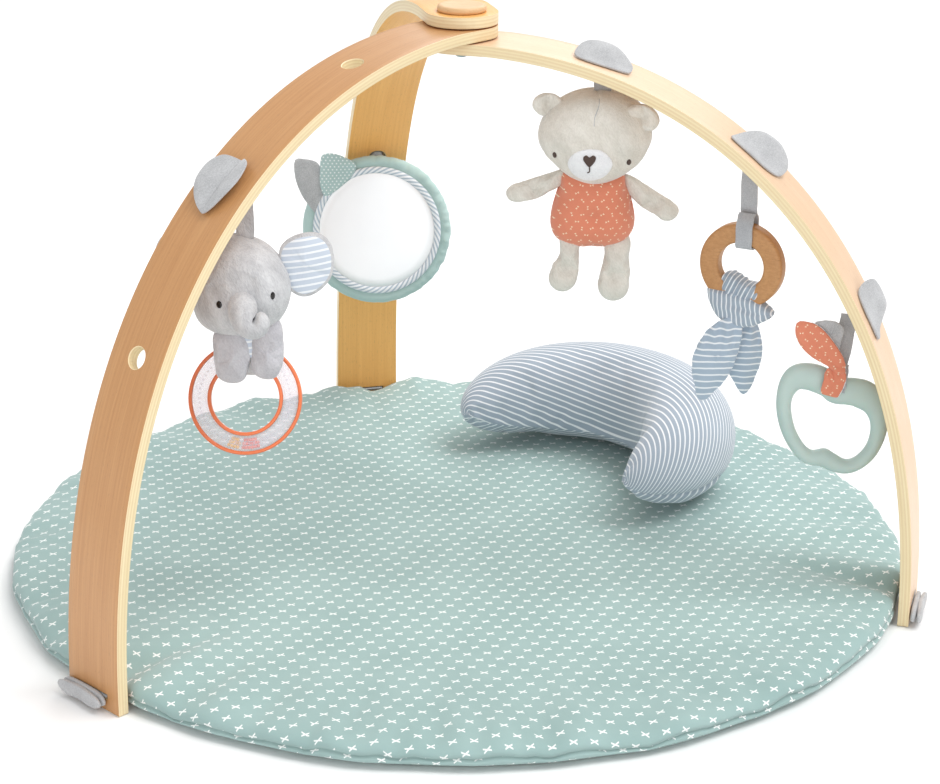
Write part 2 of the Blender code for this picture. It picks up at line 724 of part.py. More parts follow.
def make_bear(frame, materials):
    plush = materials["bear_plush"]
    head = dict(centre=(-0.0055, 0.0, -0.0530), radii=(0.053, 0.041, 0.0430), roll_degrees=5.0)
    torso = dict(centre=(-0.0045, 0.0, -0.1235), radii=(0.0375, 0.027, 0.0385), taper=0.15)
    muzzle = dict(centre=(-0.0095, -0.0375, -0.0690), radii=(0.0220, 0.0125, 0.0145), roll_degrees=5.0)
    head_room = add_cutter("bear_head_room", ellipsoid(**head, grow=GAP * 2), frame)
    torso_room = add_cutter("bear_torso_room", ellipsoid(**torso, grow=GAP * 2), frame)
    muzzle_room = add_cutter("bear_muzzle_room", ellipsoid(**muzzle, grow=GAP * 2), frame)
    strap = strap_to(-0.0530 + 0.0430 + 2 * GAP)
    add_part("bear_strap", strap, materials["grey_webbing"], frame, smooth=False)
    add_part("bear_head", ellipsoid(**head), plush, frame)
    for side, x, z in (("left", -0.0497, -0.0207), ("right", 0.0433, -0.0306)):
        ear = add_part(f"bear_ear_{side}", ellipsoid((x, 0.004, z), (0.0142, 0.007, 0.0140)), plush, frame)
        cut_away(ear, head_room)
    cut_away(add_part("bear_muzzle", ellipsoid(**muzzle), materials["white_plush"], frame), head_room)
    nose = ellipsoid((-0.0115, -0.0500, -0.0640), (0.0058, 0.0034, 0.0045), sides=10, rings=6)
    cut_away(add_part("bear_nose", nose, materials["brown_thread"], frame), muzzle_room)
    cut_away(add_part("bear_torso", ellipsoid(**torso), materials["coral_cotton"], frame), head_room)
    limbs = (
        ("bear_arm_left", (-0.0585, -0.002, -0.1010), (0.0285, 0.0095, 0.0100), -10.0),
        ("bear_arm_right", (0.0535, -0.002, -0.1085), (0.0290, 0.0095, 0.0105), 25.0),
        ("bear_leg_left", (-0.0290, -0.004, -0.1770), (0.0138, 0.0125, 0.0285), 4.0),
        ("bear_leg_right", (0.0170, -0.004, -0.1815), (0.0150, 0.0125, 0.0325), -3.0),
    )
    for name, centre, radii, roll in limbs:
        limb = add_part(name, ellipsoid(centre, radii, roll), plush, frame)
        cut_away(limb, torso_room)


def strap_round(top_of_loop, bottom_of_loop, half_depth):
    """Webbing that hangs from the hinge and turns once round a bar."""
    corner = 0.003
    return (
        (0.0, -STRAP_START),
        (0.0, top_of_loop + 0.007),
        (half_depth, top_of_loop - corner),
        (half_depth, bottom_of_loop + corner),
        (half_depth - corner, bottom_of_loop),
        (-half_depth + corner, bottom_of_loop),
        (-half_depth, bottom_of_loop + corner),
        (-half_depth, top_of_loop - corner),
        (-0.0024, top_of_loop + 0.0045),
    )


def make_wood_ring_toy(frame, materials):
    stripe = materials["blue_stripe"]
    turn = Matrix.Rotation(math.radians(WOOD_RING_TURN), 4, "Z")
    path = strap_round(-0.0410, -0.0700, 0.0090)
    strap = band(path, WEBBING_WIDTH, WEBBING_THICKNESS, turn)
    add_part("ring_strap", strap, materials["grey_webbing"], frame, smooth=False)
    place = facing_viewer(WOOD_RING_CENTRE, 0.0, WOOD_RING_TURN)
    section = rounded_section(WOOD_RING_INNER, WOOD_RING_OUTER, WOOD_RING_HALF_THICKNESS, 0.003)
    add_part("wood_ring", lathe(section, 36, True, place), materials["beech_solid"], frame)
    room = rounded_section(
        WOOD_RING_INNER - 2 * GAP, WOOD_RING_OUTER + 2 * GAP, WOOD_RING_HALF_THICKNESS + 2 * GAP, 0.002
    )
    ring_room = add_cutter("wood_ring_room", lathe(room, 36, True, place), frame)
    knot_shape = dict(centre=(-0.0025, -0.002, -0.1215), radii=(0.0290, 0.0180, 0.0262))
    knot_room = add_cutter("ring_knot_room", ellipsoid(**knot_shape, grow=GAP * 2), frame)
    knot = add_part("ring_knot", ellipsoid(**knot_shape), stripe, frame)
    cut_away(knot, ring_room)
    tails = (
        ("ring_tail_left", (-0.0205, -0.0065, -0.1815), (0.0222, 0.0070, 0.0420), 9.0),
        ("ring_tail_right", (0.0060, 0.0090, -0.1790), (0.0175, 0.0070, 0.0405), -4.0),
    )
    for name, centre, radii, roll in tails:
        tail = add_part(name, ellipsoid(centre, radii, roll), stripe, frame)
        cut_away(tail, knot_room)


def teether_path(points=40):
    """Closed apple outline in the XZ plane, dipped at its top and bottom."""
    path = []
    for i in range(points):
        angle = 2.0 * math.pi * i / points
        x = TEETHER_HALF_WIDTH * math.cos(angle) * (1.0 + 0.05 * math.sin(angle))
        z = TEETHER_HALF_HEIGHT * math.sin(angle)
        near_middle = math.exp(-((x / 0.017) ** 2))
        if z > 0.0:
            z -= TEETHER_DIP * near_middle
        else:
            z += 0.003 * near_middle
        path.append(TEETHER_CENTRE + Vector((x, 0.0, z)))
    return path


def make_teether_toy(frame, materials):
    path = teether_path()
    rings = []
    for i, point in enumerate(path):
        along = (path[(i + 1) % len(path)] - path[i - 1]).normalized()
        outward = Vector((along.z, 0.0, -along.x))
        ring = []
        for k in range(8):
            angle = 2.0 * math.pi * k / 8
            offset = outward * math.cos(angle) + Vector((0.0, math.sin(angle), 0.0))
            ring.append(point + offset * TEETHER_TUBE)
        rings.append(ring)
    add_part("teether", join_rings(rings, closed_path=True), materials["sage_silicone"], frame)
    low = TEETHER_CENTRE.z + TEETHER_HALF_HEIGHT - TEETHER_DIP
    route = strap_round(low + TEETHER_TUBE + 0.004, low - TEETHER_TUBE - 0.003, TEETHER_TUBE + 0.0014)
    shift = Matrix.Translation((-0.004, 0.0, 0.0))
    strap = band(route, WEBBING_WIDTH, WEBBING_THICKNESS, shift)
    add_part("teether_strap", strap, materials["grey_webbing"], frame, smooth=False)
    coral = leaf((-0.0110, -0.0760), (-0.0500, -0.0050), 0.032, 0.003, -0.0140)
    add_part("teether_leaf_coral", coral, materials["coral_cotton"], frame, smooth=False)
    grey = leaf((-0.0100, -0.0560), (-0.0300, -0.0030), 0.024, 0.002, -0.0112)
    add_part("teether_leaf_grey", grey, materials["grey_felt"], frame, smooth=False)


# ---------------------------------------------------------------- pillow
def make_pillow(material, rows=18, sides=14):
    rings = []
    for i in range(rows):
        share = 0.5 - 0.5 * math.cos(math.pi * (i + 0.5) / rows)
        lean = 2.0 * share - 1.0
        angle = math.radians(PILLOW_ARC_START + (PILLOW_ARC_END - PILLOW_ARC_START) * share)
        taper = math.sqrt(1.0 - abs(lean) ** PILLOW_END_POWER)
        swell = 1.0 - lean * lean
        half_width = PILLOW_HALF_WIDTH * (1.0 - PILLOW_TAPER * lean + PILLOW_WIDTH_SWELL * swell)
        half_height = PILLOW_HALF_HEIGHT * (1.0 + PILLOW_HEIGHT_SWELL * swell)
        outward = Vector((math.cos(angle), math.sin(angle)))
        middle = PILLOW_CENTRE + outward * PILLOW_ARC_RADIUS
        height = MAT_TOP + GAP + half_height
        ring = []
        for k in range(sides):
            turn = 2.0 * math.pi * k / sides
            place = middle + outward * (half_width * taper * math.cos(turn))
            rise = half_height * taper * math.sin(turn)
            ring.append((place.x, place.y, height + rise))
        rings.append(ring)
    add_part("pillow", join_rings(rings), material)


# ---------------------------------------------------------------- build
def build():
    remove_everything()
    materials = make_materials()
    make_mat(materials)
    make_hub(materials)
    frames = {}
    for side in ARM_AZIMUTH:
        frames[side] = make_arm(side, materials["beech_ply"])
        make_foot_fastening(side, frames[side], materials["grey_felt"], materials["grey_webbing"])
    toys = {
        "elephant": ("left", 1),
        "mirror": ("rear", 2),
        "bear": ("right", 0),
        "ring": ("right", 1),
        "teether": ("right", 2),
    }
    toy_frames = {}
    for name, (side, hole) in toys.items():
        make_toy_toggle(name, side, hole, frames[side], materials["grey_felt"])
        toy_frames[name] = toy_frame(name, side, hole)
    make_elephant(toy_frames["elephant"], materials)
    make_rattle(toy_frames["elephant"], materials)
    make_mirror(toy_frames["mirror"], materials)
    make_bear(toy_frames["bear"], materials)
    make_wood_ring_toy(toy_frames["ring"], materials)
    make_teether_toy(toy_frames["teether"], materials)
    make_pillow(materials["blue_stripe"])


build()
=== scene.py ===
# %% [markdown]
# # Baby activity gym: the looks
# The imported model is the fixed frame: a padded mat, three bent plywood arms on one hub bolt,
# five hanging toys and a crescent pillow. This file builds what a person sees round that
# frame. Wood, cloth, plush, felt and silicone each get their own mesh and their own finish.
# Every size is in metres, +Z is up, and the viewer stands on the -Y side.

import json
import math

import bmesh
import bpy
from mathutils import Matrix, Vector, noise


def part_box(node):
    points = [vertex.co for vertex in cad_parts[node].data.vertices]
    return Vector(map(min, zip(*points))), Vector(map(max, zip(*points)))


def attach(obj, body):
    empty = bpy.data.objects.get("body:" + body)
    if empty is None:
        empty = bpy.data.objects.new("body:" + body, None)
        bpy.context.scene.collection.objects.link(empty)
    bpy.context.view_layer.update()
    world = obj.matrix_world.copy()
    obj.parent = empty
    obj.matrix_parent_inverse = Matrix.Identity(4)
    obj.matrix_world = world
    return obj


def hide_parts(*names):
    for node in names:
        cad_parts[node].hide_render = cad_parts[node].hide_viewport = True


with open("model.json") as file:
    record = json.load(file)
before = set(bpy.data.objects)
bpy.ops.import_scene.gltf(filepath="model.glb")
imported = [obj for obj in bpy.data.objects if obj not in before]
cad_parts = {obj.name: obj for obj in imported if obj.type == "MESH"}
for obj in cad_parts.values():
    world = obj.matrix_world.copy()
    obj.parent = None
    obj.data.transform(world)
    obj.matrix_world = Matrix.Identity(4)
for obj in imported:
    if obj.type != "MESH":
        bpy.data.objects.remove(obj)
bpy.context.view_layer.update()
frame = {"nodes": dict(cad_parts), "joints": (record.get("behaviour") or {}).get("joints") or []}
joints = {joint["name"]: joint for joint in frame["joints"]}

# %% [markdown]
# ## Camera, light and floor
# A long lens a little above the gym keeps the round mat a calm ellipse. The light is a studio's:
# a white surround, one large soft panel above and behind, and a weaker one low at the front left.
# The floor is a pale plane, so the object keeps its own soft contact shadow.

# %% Camera
CAMERA_PLACE = Vector((-0.4891, -2.0809, 0.9780))
CAMERA_YAW = -0.2358
CAMERA_PITCH = -0.3596
CAMERA_ROLL = 0.0082
LENS = 87.7

camera_data = bpy.data.cameras.new("camera")
camera_data.lens = LENS
camera_data.sensor_width = 36.0
camera_data.clip_end = 50.0
camera = bpy.data.objects.new("camera", camera_data)
bpy.context.collection.objects.link(camera)
camera.matrix_world = (
    Matrix.Translation(CAMERA_PLACE)
    @ Matrix.Rotation(CAMERA_YAW, 4, "Z")
    @ Matrix.Rotation(math.pi / 2 + CAMERA_PITCH, 4, "X")
    @ Matrix.Rotation(CAMERA_ROLL, 4, "Z")
)
bpy.context.scene.camera = camera

# %% Light and floor
world = bpy.data.worlds.new("studio")
world.use_nodes = True
world.node_tree.nodes["Background"].inputs["Color"].default_value = (1.0, 1.0, 1.0, 1.0)
world.node_tree.nodes["Background"].inputs["Strength"].default_value = 0.65
bpy.context.scene.world = world
bpy.context.scene.view_settings.view_transform = "Standard"


def add_panel(name, place, size, watts, tint):
    """Square soft light that faces the middle of the gym."""
    light = bpy.data.lights.new(name, "AREA")
    light.size = size
    light.energy = watts
    light.color = tint
    panel = bpy.data.objects.new(name, light)
    bpy.context.collection.objects.link(panel)
    aim = Vector((0.0, 0.0, 0.25)) - Vector(place)
    panel.matrix_world = Matrix.Translation(place) @ aim.to_track_quat("-Z", "Y").to_matrix().to_4x4()


add_panel("key_panel", (0.8, 1.3, 1.7), 1.5, 16.0, (1.0, 0.99, 0.97))
add_panel("fill_panel", (-1.0, -2.4, 0.9), 2.0, 14.0, (0.97, 0.985, 1.0))
sun_data = bpy.data.lights.new("high_soft_light", "SUN")
sun_data.energy = 1.75
sun_data.angle = math.radians(38.0)
sun = bpy.data.objects.new("high_soft_light", sun_data)
bpy.context.collection.objects.link(sun)
sun.matrix_world = Vector((0.50, -0.22, 1.0)).to_track_quat("Z", "Y").to_matrix().to_4x4()

bm = bmesh.new()
bmesh.ops.create_grid(bm, x_segments=1, y_segments=1, size=15.0)
bmesh.ops.translate(bm, verts=bm.verts, vec=(0.0, 0.0, -0.0008))
floor_mesh = bpy.data.meshes.new("floor")
bm.to_mesh(floor_mesh)
bm.free()
floor = bpy.data.objects.new("floor", floor_mesh)
bpy.context.collection.objects.link(floor)
floor_paint = bpy.data.materials.new("floor_paint")
floor_paint.use_nodes = True
floor_shader = floor_paint.node_tree.nodes["Principled BSDF"]
floor_shader.inputs["Base Color"].default_value = (0.93, 0.93, 0.93, 1.0)
floor_shader.inputs["Roughness"].default_value = 0.9
floor_mesh.materials.append(floor_paint)

# %% [markdown]
# ## Tools for making finishes
# A finish is a Principled shader with a few nodes in front of it. Four small helpers keep the
# node code short: one adds a node, one does sums, one mixes two colours, one makes a bump.
# Effects that several finishes share are node groups, so each is built once.


# %% Node helpers
def add_node(tree, kind, inputs=None, **settings):
    """Add a shader node. Inputs may be numbers, colours or another node's socket."""
    made = tree.nodes.new("ShaderNode" + kind)
    for setting, value in settings.items():
        setattr(made, setting, value)
    for key, value in (inputs or {}).items():
        if isinstance(value, bpy.types.NodeSocket):
            tree.links.new(value, made.inputs[key])
        else:
            made.inputs[key].default_value = value
    return made


def sums(tree, operation, first, second=0.0, third=0.0):
    return add_node(tree, "Math", {0: first, 1: second, 2: third}, operation=operation).outputs[0]


def fade(tree, value, start, end, low=0.0, high=1.0):
    """Smooth step of a value between two limits."""
    inputs = {"Value": value, "From Min": start, "From Max": end, "To Min": low, "To Max": high}
    return add_node(tree, "MapRange", inputs, interpolation_type="SMOOTHSTEP").outputs["Result"]


def mix_colours(tree, mask, first, second, blend="MIX"):
    first = (*first, 1.0) if isinstance(first, tuple) else first
    second = (*second, 1.0) if isinstance(second, tuple) else second
    return add_node(
        tree, "Mix", {0: mask, 6: first, 7: second}, data_type="RGBA", blend_type=blend,
    ).outputs[2]


def scaled(tree, vector, scale, turn=(0.0, 0.0, 0.0)):
    return add_node(tree, "Mapping", {"Vector": vector, "Scale": scale, "Rotation": turn}).outputs[0]


def fine_noise(tree, vector, scale, detail=2.0, rough=0.5):
    inputs = {"Vector": vector, "Scale": scale, "Detail": detail, "Roughness": rough}
    return add_node(tree, "TexNoise", inputs).outputs["Fac"]


def begin_group(name, inputs, outputs):
    """New node group. Returns its tree, the sockets it is given and the sockets it fills."""
    tree = bpy.data.node_groups.new(name, "ShaderNodeTree")
    for label, kind, value in inputs:
        socket = tree.interface.new_socket(name=label, in_out="INPUT", socket_type="NodeSocket" + kind)
        if value is not None:
            socket.default_value = value
    for label, kind in outputs:
        tree.interface.new_socket(name=label, in_out="OUTPUT", socket_type="NodeSocket" + kind)
    given = tree.nodes.new("NodeGroupInput").outputs
    filled = tree.nodes.new("NodeGroupOutput").inputs
    return tree, given, filled


def place_group(tree, group, inputs):
    """Put a group in a material and set its inputs."""
    made = tree.nodes.new("ShaderNodeGroup")
    made.node_tree = group
    for key, value in inputs.items():
        if isinstance(value, bpy.types.NodeSocket):
            tree.links.new(value, made.inputs[key])
        else:
            made.inputs[key].default_value = value
    return made.outputs


finishes = {}


def begin_finish(name, roughness, **shader_values):
    """New material, kept in finishes. Returns its tree, its shader and the object's coordinates."""
    material = bpy.data.materials.new(name)
    material.use_nodes = True
    finishes[name] = material
    tree = material.node_tree
    shader = tree.nodes["Principled BSDF"]
    shader.inputs["Roughness"].default_value = roughness
    for key, value in shader_values.items():
        shader.inputs[key.replace("_", " ")].default_value = value
    place = add_node(tree, "TexCoord").outputs["Object"]
    return tree, shader, place


def end_finish(tree, shader, colour, height=None, bump=0.0, strength=1.0, roughness=None):
    """Wire a colour, an optional bump height (bump is its depth in metres) and roughness."""
    if isinstance(colour, tuple):
        shader.inputs["Base Color"].default_value = (*colour, 1.0)
    else:
        tree.links.new(colour, shader.inputs["Base Color"])
    if height is not None:
        inputs = {"Height": height, "Distance": bump, "Strength": strength}
        made = add_node(tree, "Bump", inputs)
        tree.links.new(made.outputs["Normal"], shader.inputs["Normal"])
    if roughness is not None:
        tree.links.new(roughness, shader.inputs["Roughness"])


# %% [markdown]
# ## Shared effects
# Six effects serve all the finishes. Woven thread and short pile give cloth its surface close
# up. Mottle is the slow change of tone that no dyed or moulded thing is without. Printed marks
# are small crosses on a stagger, each turned a little or a lot. Stripes are even bars. Beech
# grain is long streaks with the short dark flecks that beech always shows.

# %% Woven thread
weave, given, filled = begin_group(
    "woven thread", [("Vector", "Vector", None), ("Threads", "Float", 1400.0)], [("Height", "Float")]
)
axes = add_node(weave, "SeparateXYZ", {0: given["Vector"]}).outputs
turns = sums(weave, "MULTIPLY", given["Threads"], 2.0 * math.pi)
waves = [sums(weave, "SINE", sums(weave, "MULTIPLY", axis, turns)) for axis in axes]
lattice = sums(weave, "ADD", sums(weave, "ADD", waves[0], waves[1]), waves[2])
uneven = fine_noise(weave, given["Vector"], 700.0)
weave.links.new(sums(weave, "MULTIPLY_ADD", lattice, 0.16, uneven), filled["Height"])

# %% Short pile
pile, given, filled = begin_group(
    "short pile",
    [("Vector", "Vector", None), ("Lay", "Vector", (1.0, 1.0, 0.3)), ("Tufts", "Float", 620.0)],
    [("Height", "Float"), ("Shade", "Float")],
)
laid = add_node(pile, "VectorMath", {0: given["Vector"], 1: given["Lay"]}, operation="MULTIPLY").outputs[0]
hairs = add_node(pile, "TexNoise", {"Vector": laid, "Scale": given["Tufts"], "Detail": 3.0}).outputs["Fac"]
brushed = fine_noise(pile, laid, 105.0, 3.0, 0.6)
shade = sums(
    pile, "MULTIPLY_ADD", fade(pile, hairs, 0.32, 0.68), 0.42,
    sums(pile, "MULTIPLY", fade(pile, brushed, 0.3, 0.7), 0.58),
)
pile.links.new(sums(pile, "MULTIPLY_ADD", brushed, 1.4, hairs), filled["Height"])
pile.links.new(shade, filled["Shade"])

# %% Mottle
mottle, given, filled = begin_group(
    "mottle", [("Vector", "Vector", None), ("Patches", "Float", 14.0)], [("Mask", "Float")]
)
patches = add_node(mottle, "TexNoise", {"Vector": given["Vector"], "Scale": given["Patches"], "Detail": 4.0})
mottle.links.new(fade(mottle, patches.outputs["Fac"], 0.3, 0.7), filled["Mask"])

# %% Printed marks
marks, given, filled = begin_group(
    "printed marks",
    [
        ("Vector", "Vector", None),
        ("Pitch X", "Float", 0.018),
        ("Pitch Y", "Float", 0.011),
        ("Reach", "Float", 0.0036),
        ("Slope", "Float", 0.5),
        ("Stroke", "Float", 0.0007),
        ("Spin", "Float", 0.0),
        ("Gap", "Float", 0.0),
    ],
    [("Mask", "Float")],
)
axes = add_node(marks, "SeparateXYZ", {0: given["Vector"]}).outputs
row = sums(marks, "DIVIDE", axes[1], given["Pitch Y"])
row_number = sums(marks, "FLOOR", row)
odd = sums(marks, "MULTIPLY", sums(marks, "FLOORED_MODULO", row_number, 2.0), 0.5)
column = sums(marks, "ADD", sums(marks, "DIVIDE", axes[0], given["Pitch X"]), odd)
cell = add_node(marks, "CombineXYZ", {0: sums(marks, "FLOOR", column), 1: row_number}).outputs[0]
luck = add_node(marks, "TexWhiteNoise", {"Vector": cell}, noise_dimensions="3D").outputs["Value"]
across = sums(marks, "MULTIPLY", sums(marks, "SUBTRACT", sums(marks, "FRACT", column), 0.5), given["Pitch X"])
along = sums(marks, "MULTIPLY", sums(marks, "SUBTRACT", sums(marks, "FRACT", row), 0.5), given["Pitch Y"])
angle = sums(marks, "MULTIPLY", sums(marks, "SUBTRACT", luck, 0.5), given["Spin"])
flat_point = add_node(marks, "CombineXYZ", {0: across, 1: along}).outputs[0]
turned = add_node(
    marks, "VectorRotate", {"Vector": flat_point, "Angle": angle}, rotation_type="Z_AXIS",
).outputs[0]
axes = add_node(marks, "SeparateXYZ", {0: turned}).outputs
reach = sums(marks, "ABSOLUTE", axes[0])
climb = sums(marks, "MULTIPLY", reach, given["Slope"])
off_line = sums(marks, "ABSOLUTE", sums(marks, "SUBTRACT", sums(marks, "ABSOLUTE", axes[1]), climb))
on_line = sums(marks, "LESS_THAN", off_line, given["Stroke"])
in_reach = sums(marks, "LESS_THAN", reach, given["Reach"])
in_reach = sums(marks, "MULTIPLY", in_reach, sums(marks, "GREATER_THAN", reach, given["Gap"]))
marks.links.new(sums(marks, "MULTIPLY", on_line, in_reach), filled["Mask"])

# %% Stripes
stripes, given, filled = begin_group(
    "stripes",
    [
        ("Vector", "Vector", None),
        ("Pitch", "Float", 0.0052),
        ("Angle", "Float", 0.0),
        ("Share", "Float", 0.28),
    ],
    [("Mask", "Float")],
)
turned = add_node(
    stripes, "VectorRotate", {"Vector": given["Vector"], "Angle": given["Angle"]}, rotation_type="Z_AXIS"
).outputs[0]
axes = add_node(stripes, "SeparateXYZ", {0: turned}).outputs
phase = sums(stripes, "FRACT", sums(stripes, "DIVIDE", axes[0], given["Pitch"]))
from_middle = sums(stripes, "MULTIPLY", sums(stripes, "ABSOLUTE", sums(stripes, "SUBTRACT", phase, 0.5)), 2.0)
edge = sums(stripes, "SUBTRACT", given["Share"], from_middle)
stripes.links.new(fade(stripes, edge, -0.08, 0.08), filled["Mask"])

# %% Beech grain
grain, given, filled = begin_group(
    "beech grain",
    [
        ("Vector", "Vector", None),
        ("Pale", "Color", (0.8, 0.6, 0.4, 1.0)),
        ("Dark", "Color", (0.6, 0.38, 0.2, 1.0)),
        ("Flecks", "Float", 0.5),
    ],
    [("Color", "Color"), ("Height", "Float")],
)
streaks = fine_noise(grain, scaled(grain, given["Vector"], (7.0, 420.0, 420.0)), 1.0, 4.0, 0.6)
bands = fine_noise(grain, scaled(grain, given["Vector"], (1.6, 55.0, 55.0)), 1.0, 3.0)
fleck_noise = fine_noise(grain, scaled(grain, given["Vector"], (170.0, 1500.0, 1500.0)), 1.0, 1.0)
fleck_mask = sums(grain, "MULTIPLY", fade(grain, fleck_noise, 0.64, 0.74), given["Flecks"])
tone = sums(
    grain, "MULTIPLY_ADD", fade(grain, streaks, 0.25, 0.75), 0.55, sums(grain, "MULTIPLY", bands, 0.45),
)
wood = mix_colours(grain, tone, given["Pale"], given["Dark"])
wood = mix_colours(grain, sums(grain, "MULTIPLY", fleck_mask, 0.45), wood, (0.22, 0.11, 0.05))
grain.links.new(wood, filled["Color"])
grain.links.new(sums(grain, "SUBTRACT", streaks, fleck_mask), filled["Height"])
print("node groups:", [group.name for group in bpy.data.node_groups])

# %% [markdown]
# ## Finishes for wood, metal and plastic
# The arms are bent from thin beech veneers under clear varnish. Their broad faces show long
# grain. Their sawn edges show the plies as pale lines. Both read the arm's own map, whose first
# value runs along the arm and whose second runs across it, so the grain follows the bend.

# %% Beech, metal and plastic
# One beech finish in three copies, one per arm, each painted to the brightness that the light gives that arm:
# the right arm's copy is painted light, the left arm's is painted shade, the rear arm's a deeper gold.
ARM_LIT_AND_SHADED_TONES = {
    "arm_face": ((0.66, 0.36, 0.155), (0.50, 0.235, 0.085), 0.42),
    "arm_face_golden": ((0.96, 0.53, 0.165), (0.80, 0.385, 0.10), 0.42),
    "arm_face_bright": ((0.84, 0.60, 0.40), (0.74, 0.49, 0.30), 0.42),
}
for label, (pale, dark, roughness) in ARM_LIT_AND_SHADED_TONES.items():
    tree, shader, place = begin_finish(label, roughness, Coat_Weight=0.25, Coat_Roughness=0.25)
    along = add_node(tree, "UVMap", uv_map="grain").outputs[0]
    wood = place_group(
        tree, grain, {"Vector": along, "Pale": (*pale, 1.0), "Dark": (*dark, 1.0), "Flecks": 0.8}
    )
    tone = place_group(tree, mottle, {"Vector": along, "Patches": 9.0})["Mask"]
    colour = mix_colours(tree, sums(tree, "MULTIPLY", tone, 0.22), wood["Color"], dark)
    end_finish(tree, shader, colour, wood["Height"], 0.00012, 0.5, fade(tree, tone, 0.0, 1.0, 0.38, 0.5))

PLY_STEP = 0.00155
tree, shader, place = begin_finish("arm_edge", 0.5, Coat_Weight=0.15, Coat_Roughness=0.3)
along = add_node(tree, "UVMap", uv_map="grain").outputs[0]
wood = place_group(
    tree, grain,
    {"Vector": along, "Pale": (0.90, 0.78, 0.52, 1.0), "Dark": (0.80, 0.63, 0.36, 1.0), "Flecks": 0.3}
)
plies = place_group(
    tree, stripes, {"Vector": along, "Pitch": 2 * PLY_STEP, "Angle": math.pi / 2, "Share": 0.5},
)["Mask"]
colour = mix_colours(tree, sums(tree, "MULTIPLY", plies, 0.32), wood["Color"], (0.66, 0.45, 0.22))
end_finish(tree, shader, colour, wood["Height"], 0.0001, 0.4)

SOLID_BEECH = {
    "beech_solid": (0.48, 13.0, (0.60, 0.315, 0.13, 1.0), (0.43, 0.20, 0.07, 1.0), 1.0),
    "beech_cap": (0.45, 30.0, (0.80, 0.54, 0.30, 1.0), (0.66, 0.40, 0.19, 1.0), 0.6),
}
for label, (roughness, grain_turn, pale, dark, flecks) in SOLID_BEECH.items():
    tree, shader, place = begin_finish(label, roughness)
    turned = scaled(tree, place, (1.0, 1.0, 1.0), (0.0, 0.0, math.radians(grain_turn)))
    wood = place_group(tree, grain, {"Vector": turned, "Pale": pale, "Dark": dark, "Flecks": flecks})
    end_finish(tree, shader, wood["Color"], wood["Height"], 0.0002, 0.6)

PLAIN_FINISHES = {
    "steel": ((0.62, 0.62, 0.63), 0.34, 1.0, 90.0),
    "nylon": ((0.78, 0.77, 0.74), 0.5, 0.0, 40.0),
    "coral_plastic": ((0.86, 0.205, 0.075), 0.28, 0.0, 30.0),
    "yellow_bead": ((0.95, 0.60, 0.04), 0.25, 0.0, 60.0),
    "coral_bead": ((0.92, 0.20, 0.10), 0.25, 0.0, 60.0),
    "sage_silicone": ((0.50, 0.625, 0.585), 0.40, 0.0, 22.0),
    "black_eye": ((0.012, 0.010, 0.010), 0.22, 0.0, 200.0),
}
for label, (tone, roughness, metallic, patches) in PLAIN_FINISHES.items():
    tree, shader, place = begin_finish(label, roughness, Metallic=metallic)
    mask = place_group(tree, mottle, {"Vector": place, "Patches": patches})["Mask"]
    deeper = tuple(channel * 0.86 for channel in tone)
    colour = mix_colours(tree, sums(tree, "MULTIPLY", mask, 0.5), tone, deeper)
    uneven = fade(tree, mask, 0.0, 1.0, roughness * 0.85, roughness * 1.25)
    fine = fine_noise(tree, place, 1800.0)
    end_finish(tree, shader, colour, fine, 0.00004, 0.3, uneven)

silicone = finishes["sage_silicone"].node_tree.nodes["Principled BSDF"]
silicone.inputs["Subsurface Weight"].default_value = 0.12
silicone.inputs["Subsurface Scale"].default_value = 0.004

tree, shader, place = begin_finish("lilac_shell", 0.14, Alpha=0.20, IOR=1.4)
mask = place_group(tree, mottle, {"Vector": place, "Patches": 45.0})["Mask"]
colour = mix_colours(tree, mask, (0.96, 0.90, 0.95), (0.88, 0.82, 0.93))
end_finish(tree, shader, colour, mask, 0.0003, 0.25)

tree, shader, place = begin_finish("mirror_film", 0.34, Metallic=1.0)
mask = place_group(tree, mottle, {"Vector": place, "Patches": 10.0})["Mask"]
colour = mix_colours(tree, mask, (0.81, 0.82, 0.825), (0.77, 0.78, 0.79))
end_finish(tree, shader, colour, mask, 0.0004, 0.25)
print("hard finishes:", sorted(finishes))

# %% [markdown]
# ## Finishes for cloth, plush and felt
# Printed cotton is a fine weave with a little sheen. Plush is short pile that shows its lay in
# light and dark streaks. Felt has no weave at all, only a tangle of grey fibres. All of them are
# rough, and the sheen on their edges is what makes them read as cloth.

# %% Cotton
SAGE = (0.330, 0.468, 0.452)
SAGE_DEEP = (0.270, 0.400, 0.386)
CREAM = (0.90, 0.93, 0.91)


def cotton(label, tone, deep, threads=1500.0, sheen=0.25):
    """Woven cotton. Returns what begin_finish does, with its colour and its thread height."""
    tree, shader, place = begin_finish(label, 0.88, Sheen_Weight=sheen, Sheen_Roughness=0.5)
    mask = place_group(tree, mottle, {"Vector": place, "Patches": 16.0})["Mask"]
    colour = mix_colours(tree, sums(tree, "MULTIPLY", mask, 0.6), tone, deep)
    thread = place_group(tree, weave, {"Vector": place, "Threads": threads})["Height"]
    return tree, shader, place, colour, thread


tree, shader, place, colour, thread = cotton("sage_print", SAGE, SAGE_DEEP)
flat_map = scaled(
    tree, add_node(tree, "UVMap", uv_map="cut").outputs[0], (1.0, 1.0, 1.0), (0.0, 0.0, math.radians(4.0)),
)
MAT_CROSSES = {
    "Pitch X": 0.0185, "Pitch Y": 0.0125, "Reach": 0.0034, "Slope": 0.55, "Stroke": 0.0008, "Spin": 0.35,
}
crosses = place_group(tree, marks, {"Vector": flat_map, **MAT_CROSSES})["Mask"]
colour = mix_colours(tree, sums(tree, "MULTIPLY", crosses, 0.92), colour, CREAM)
end_finish(tree, shader, colour, thread, 0.00015, 0.5)

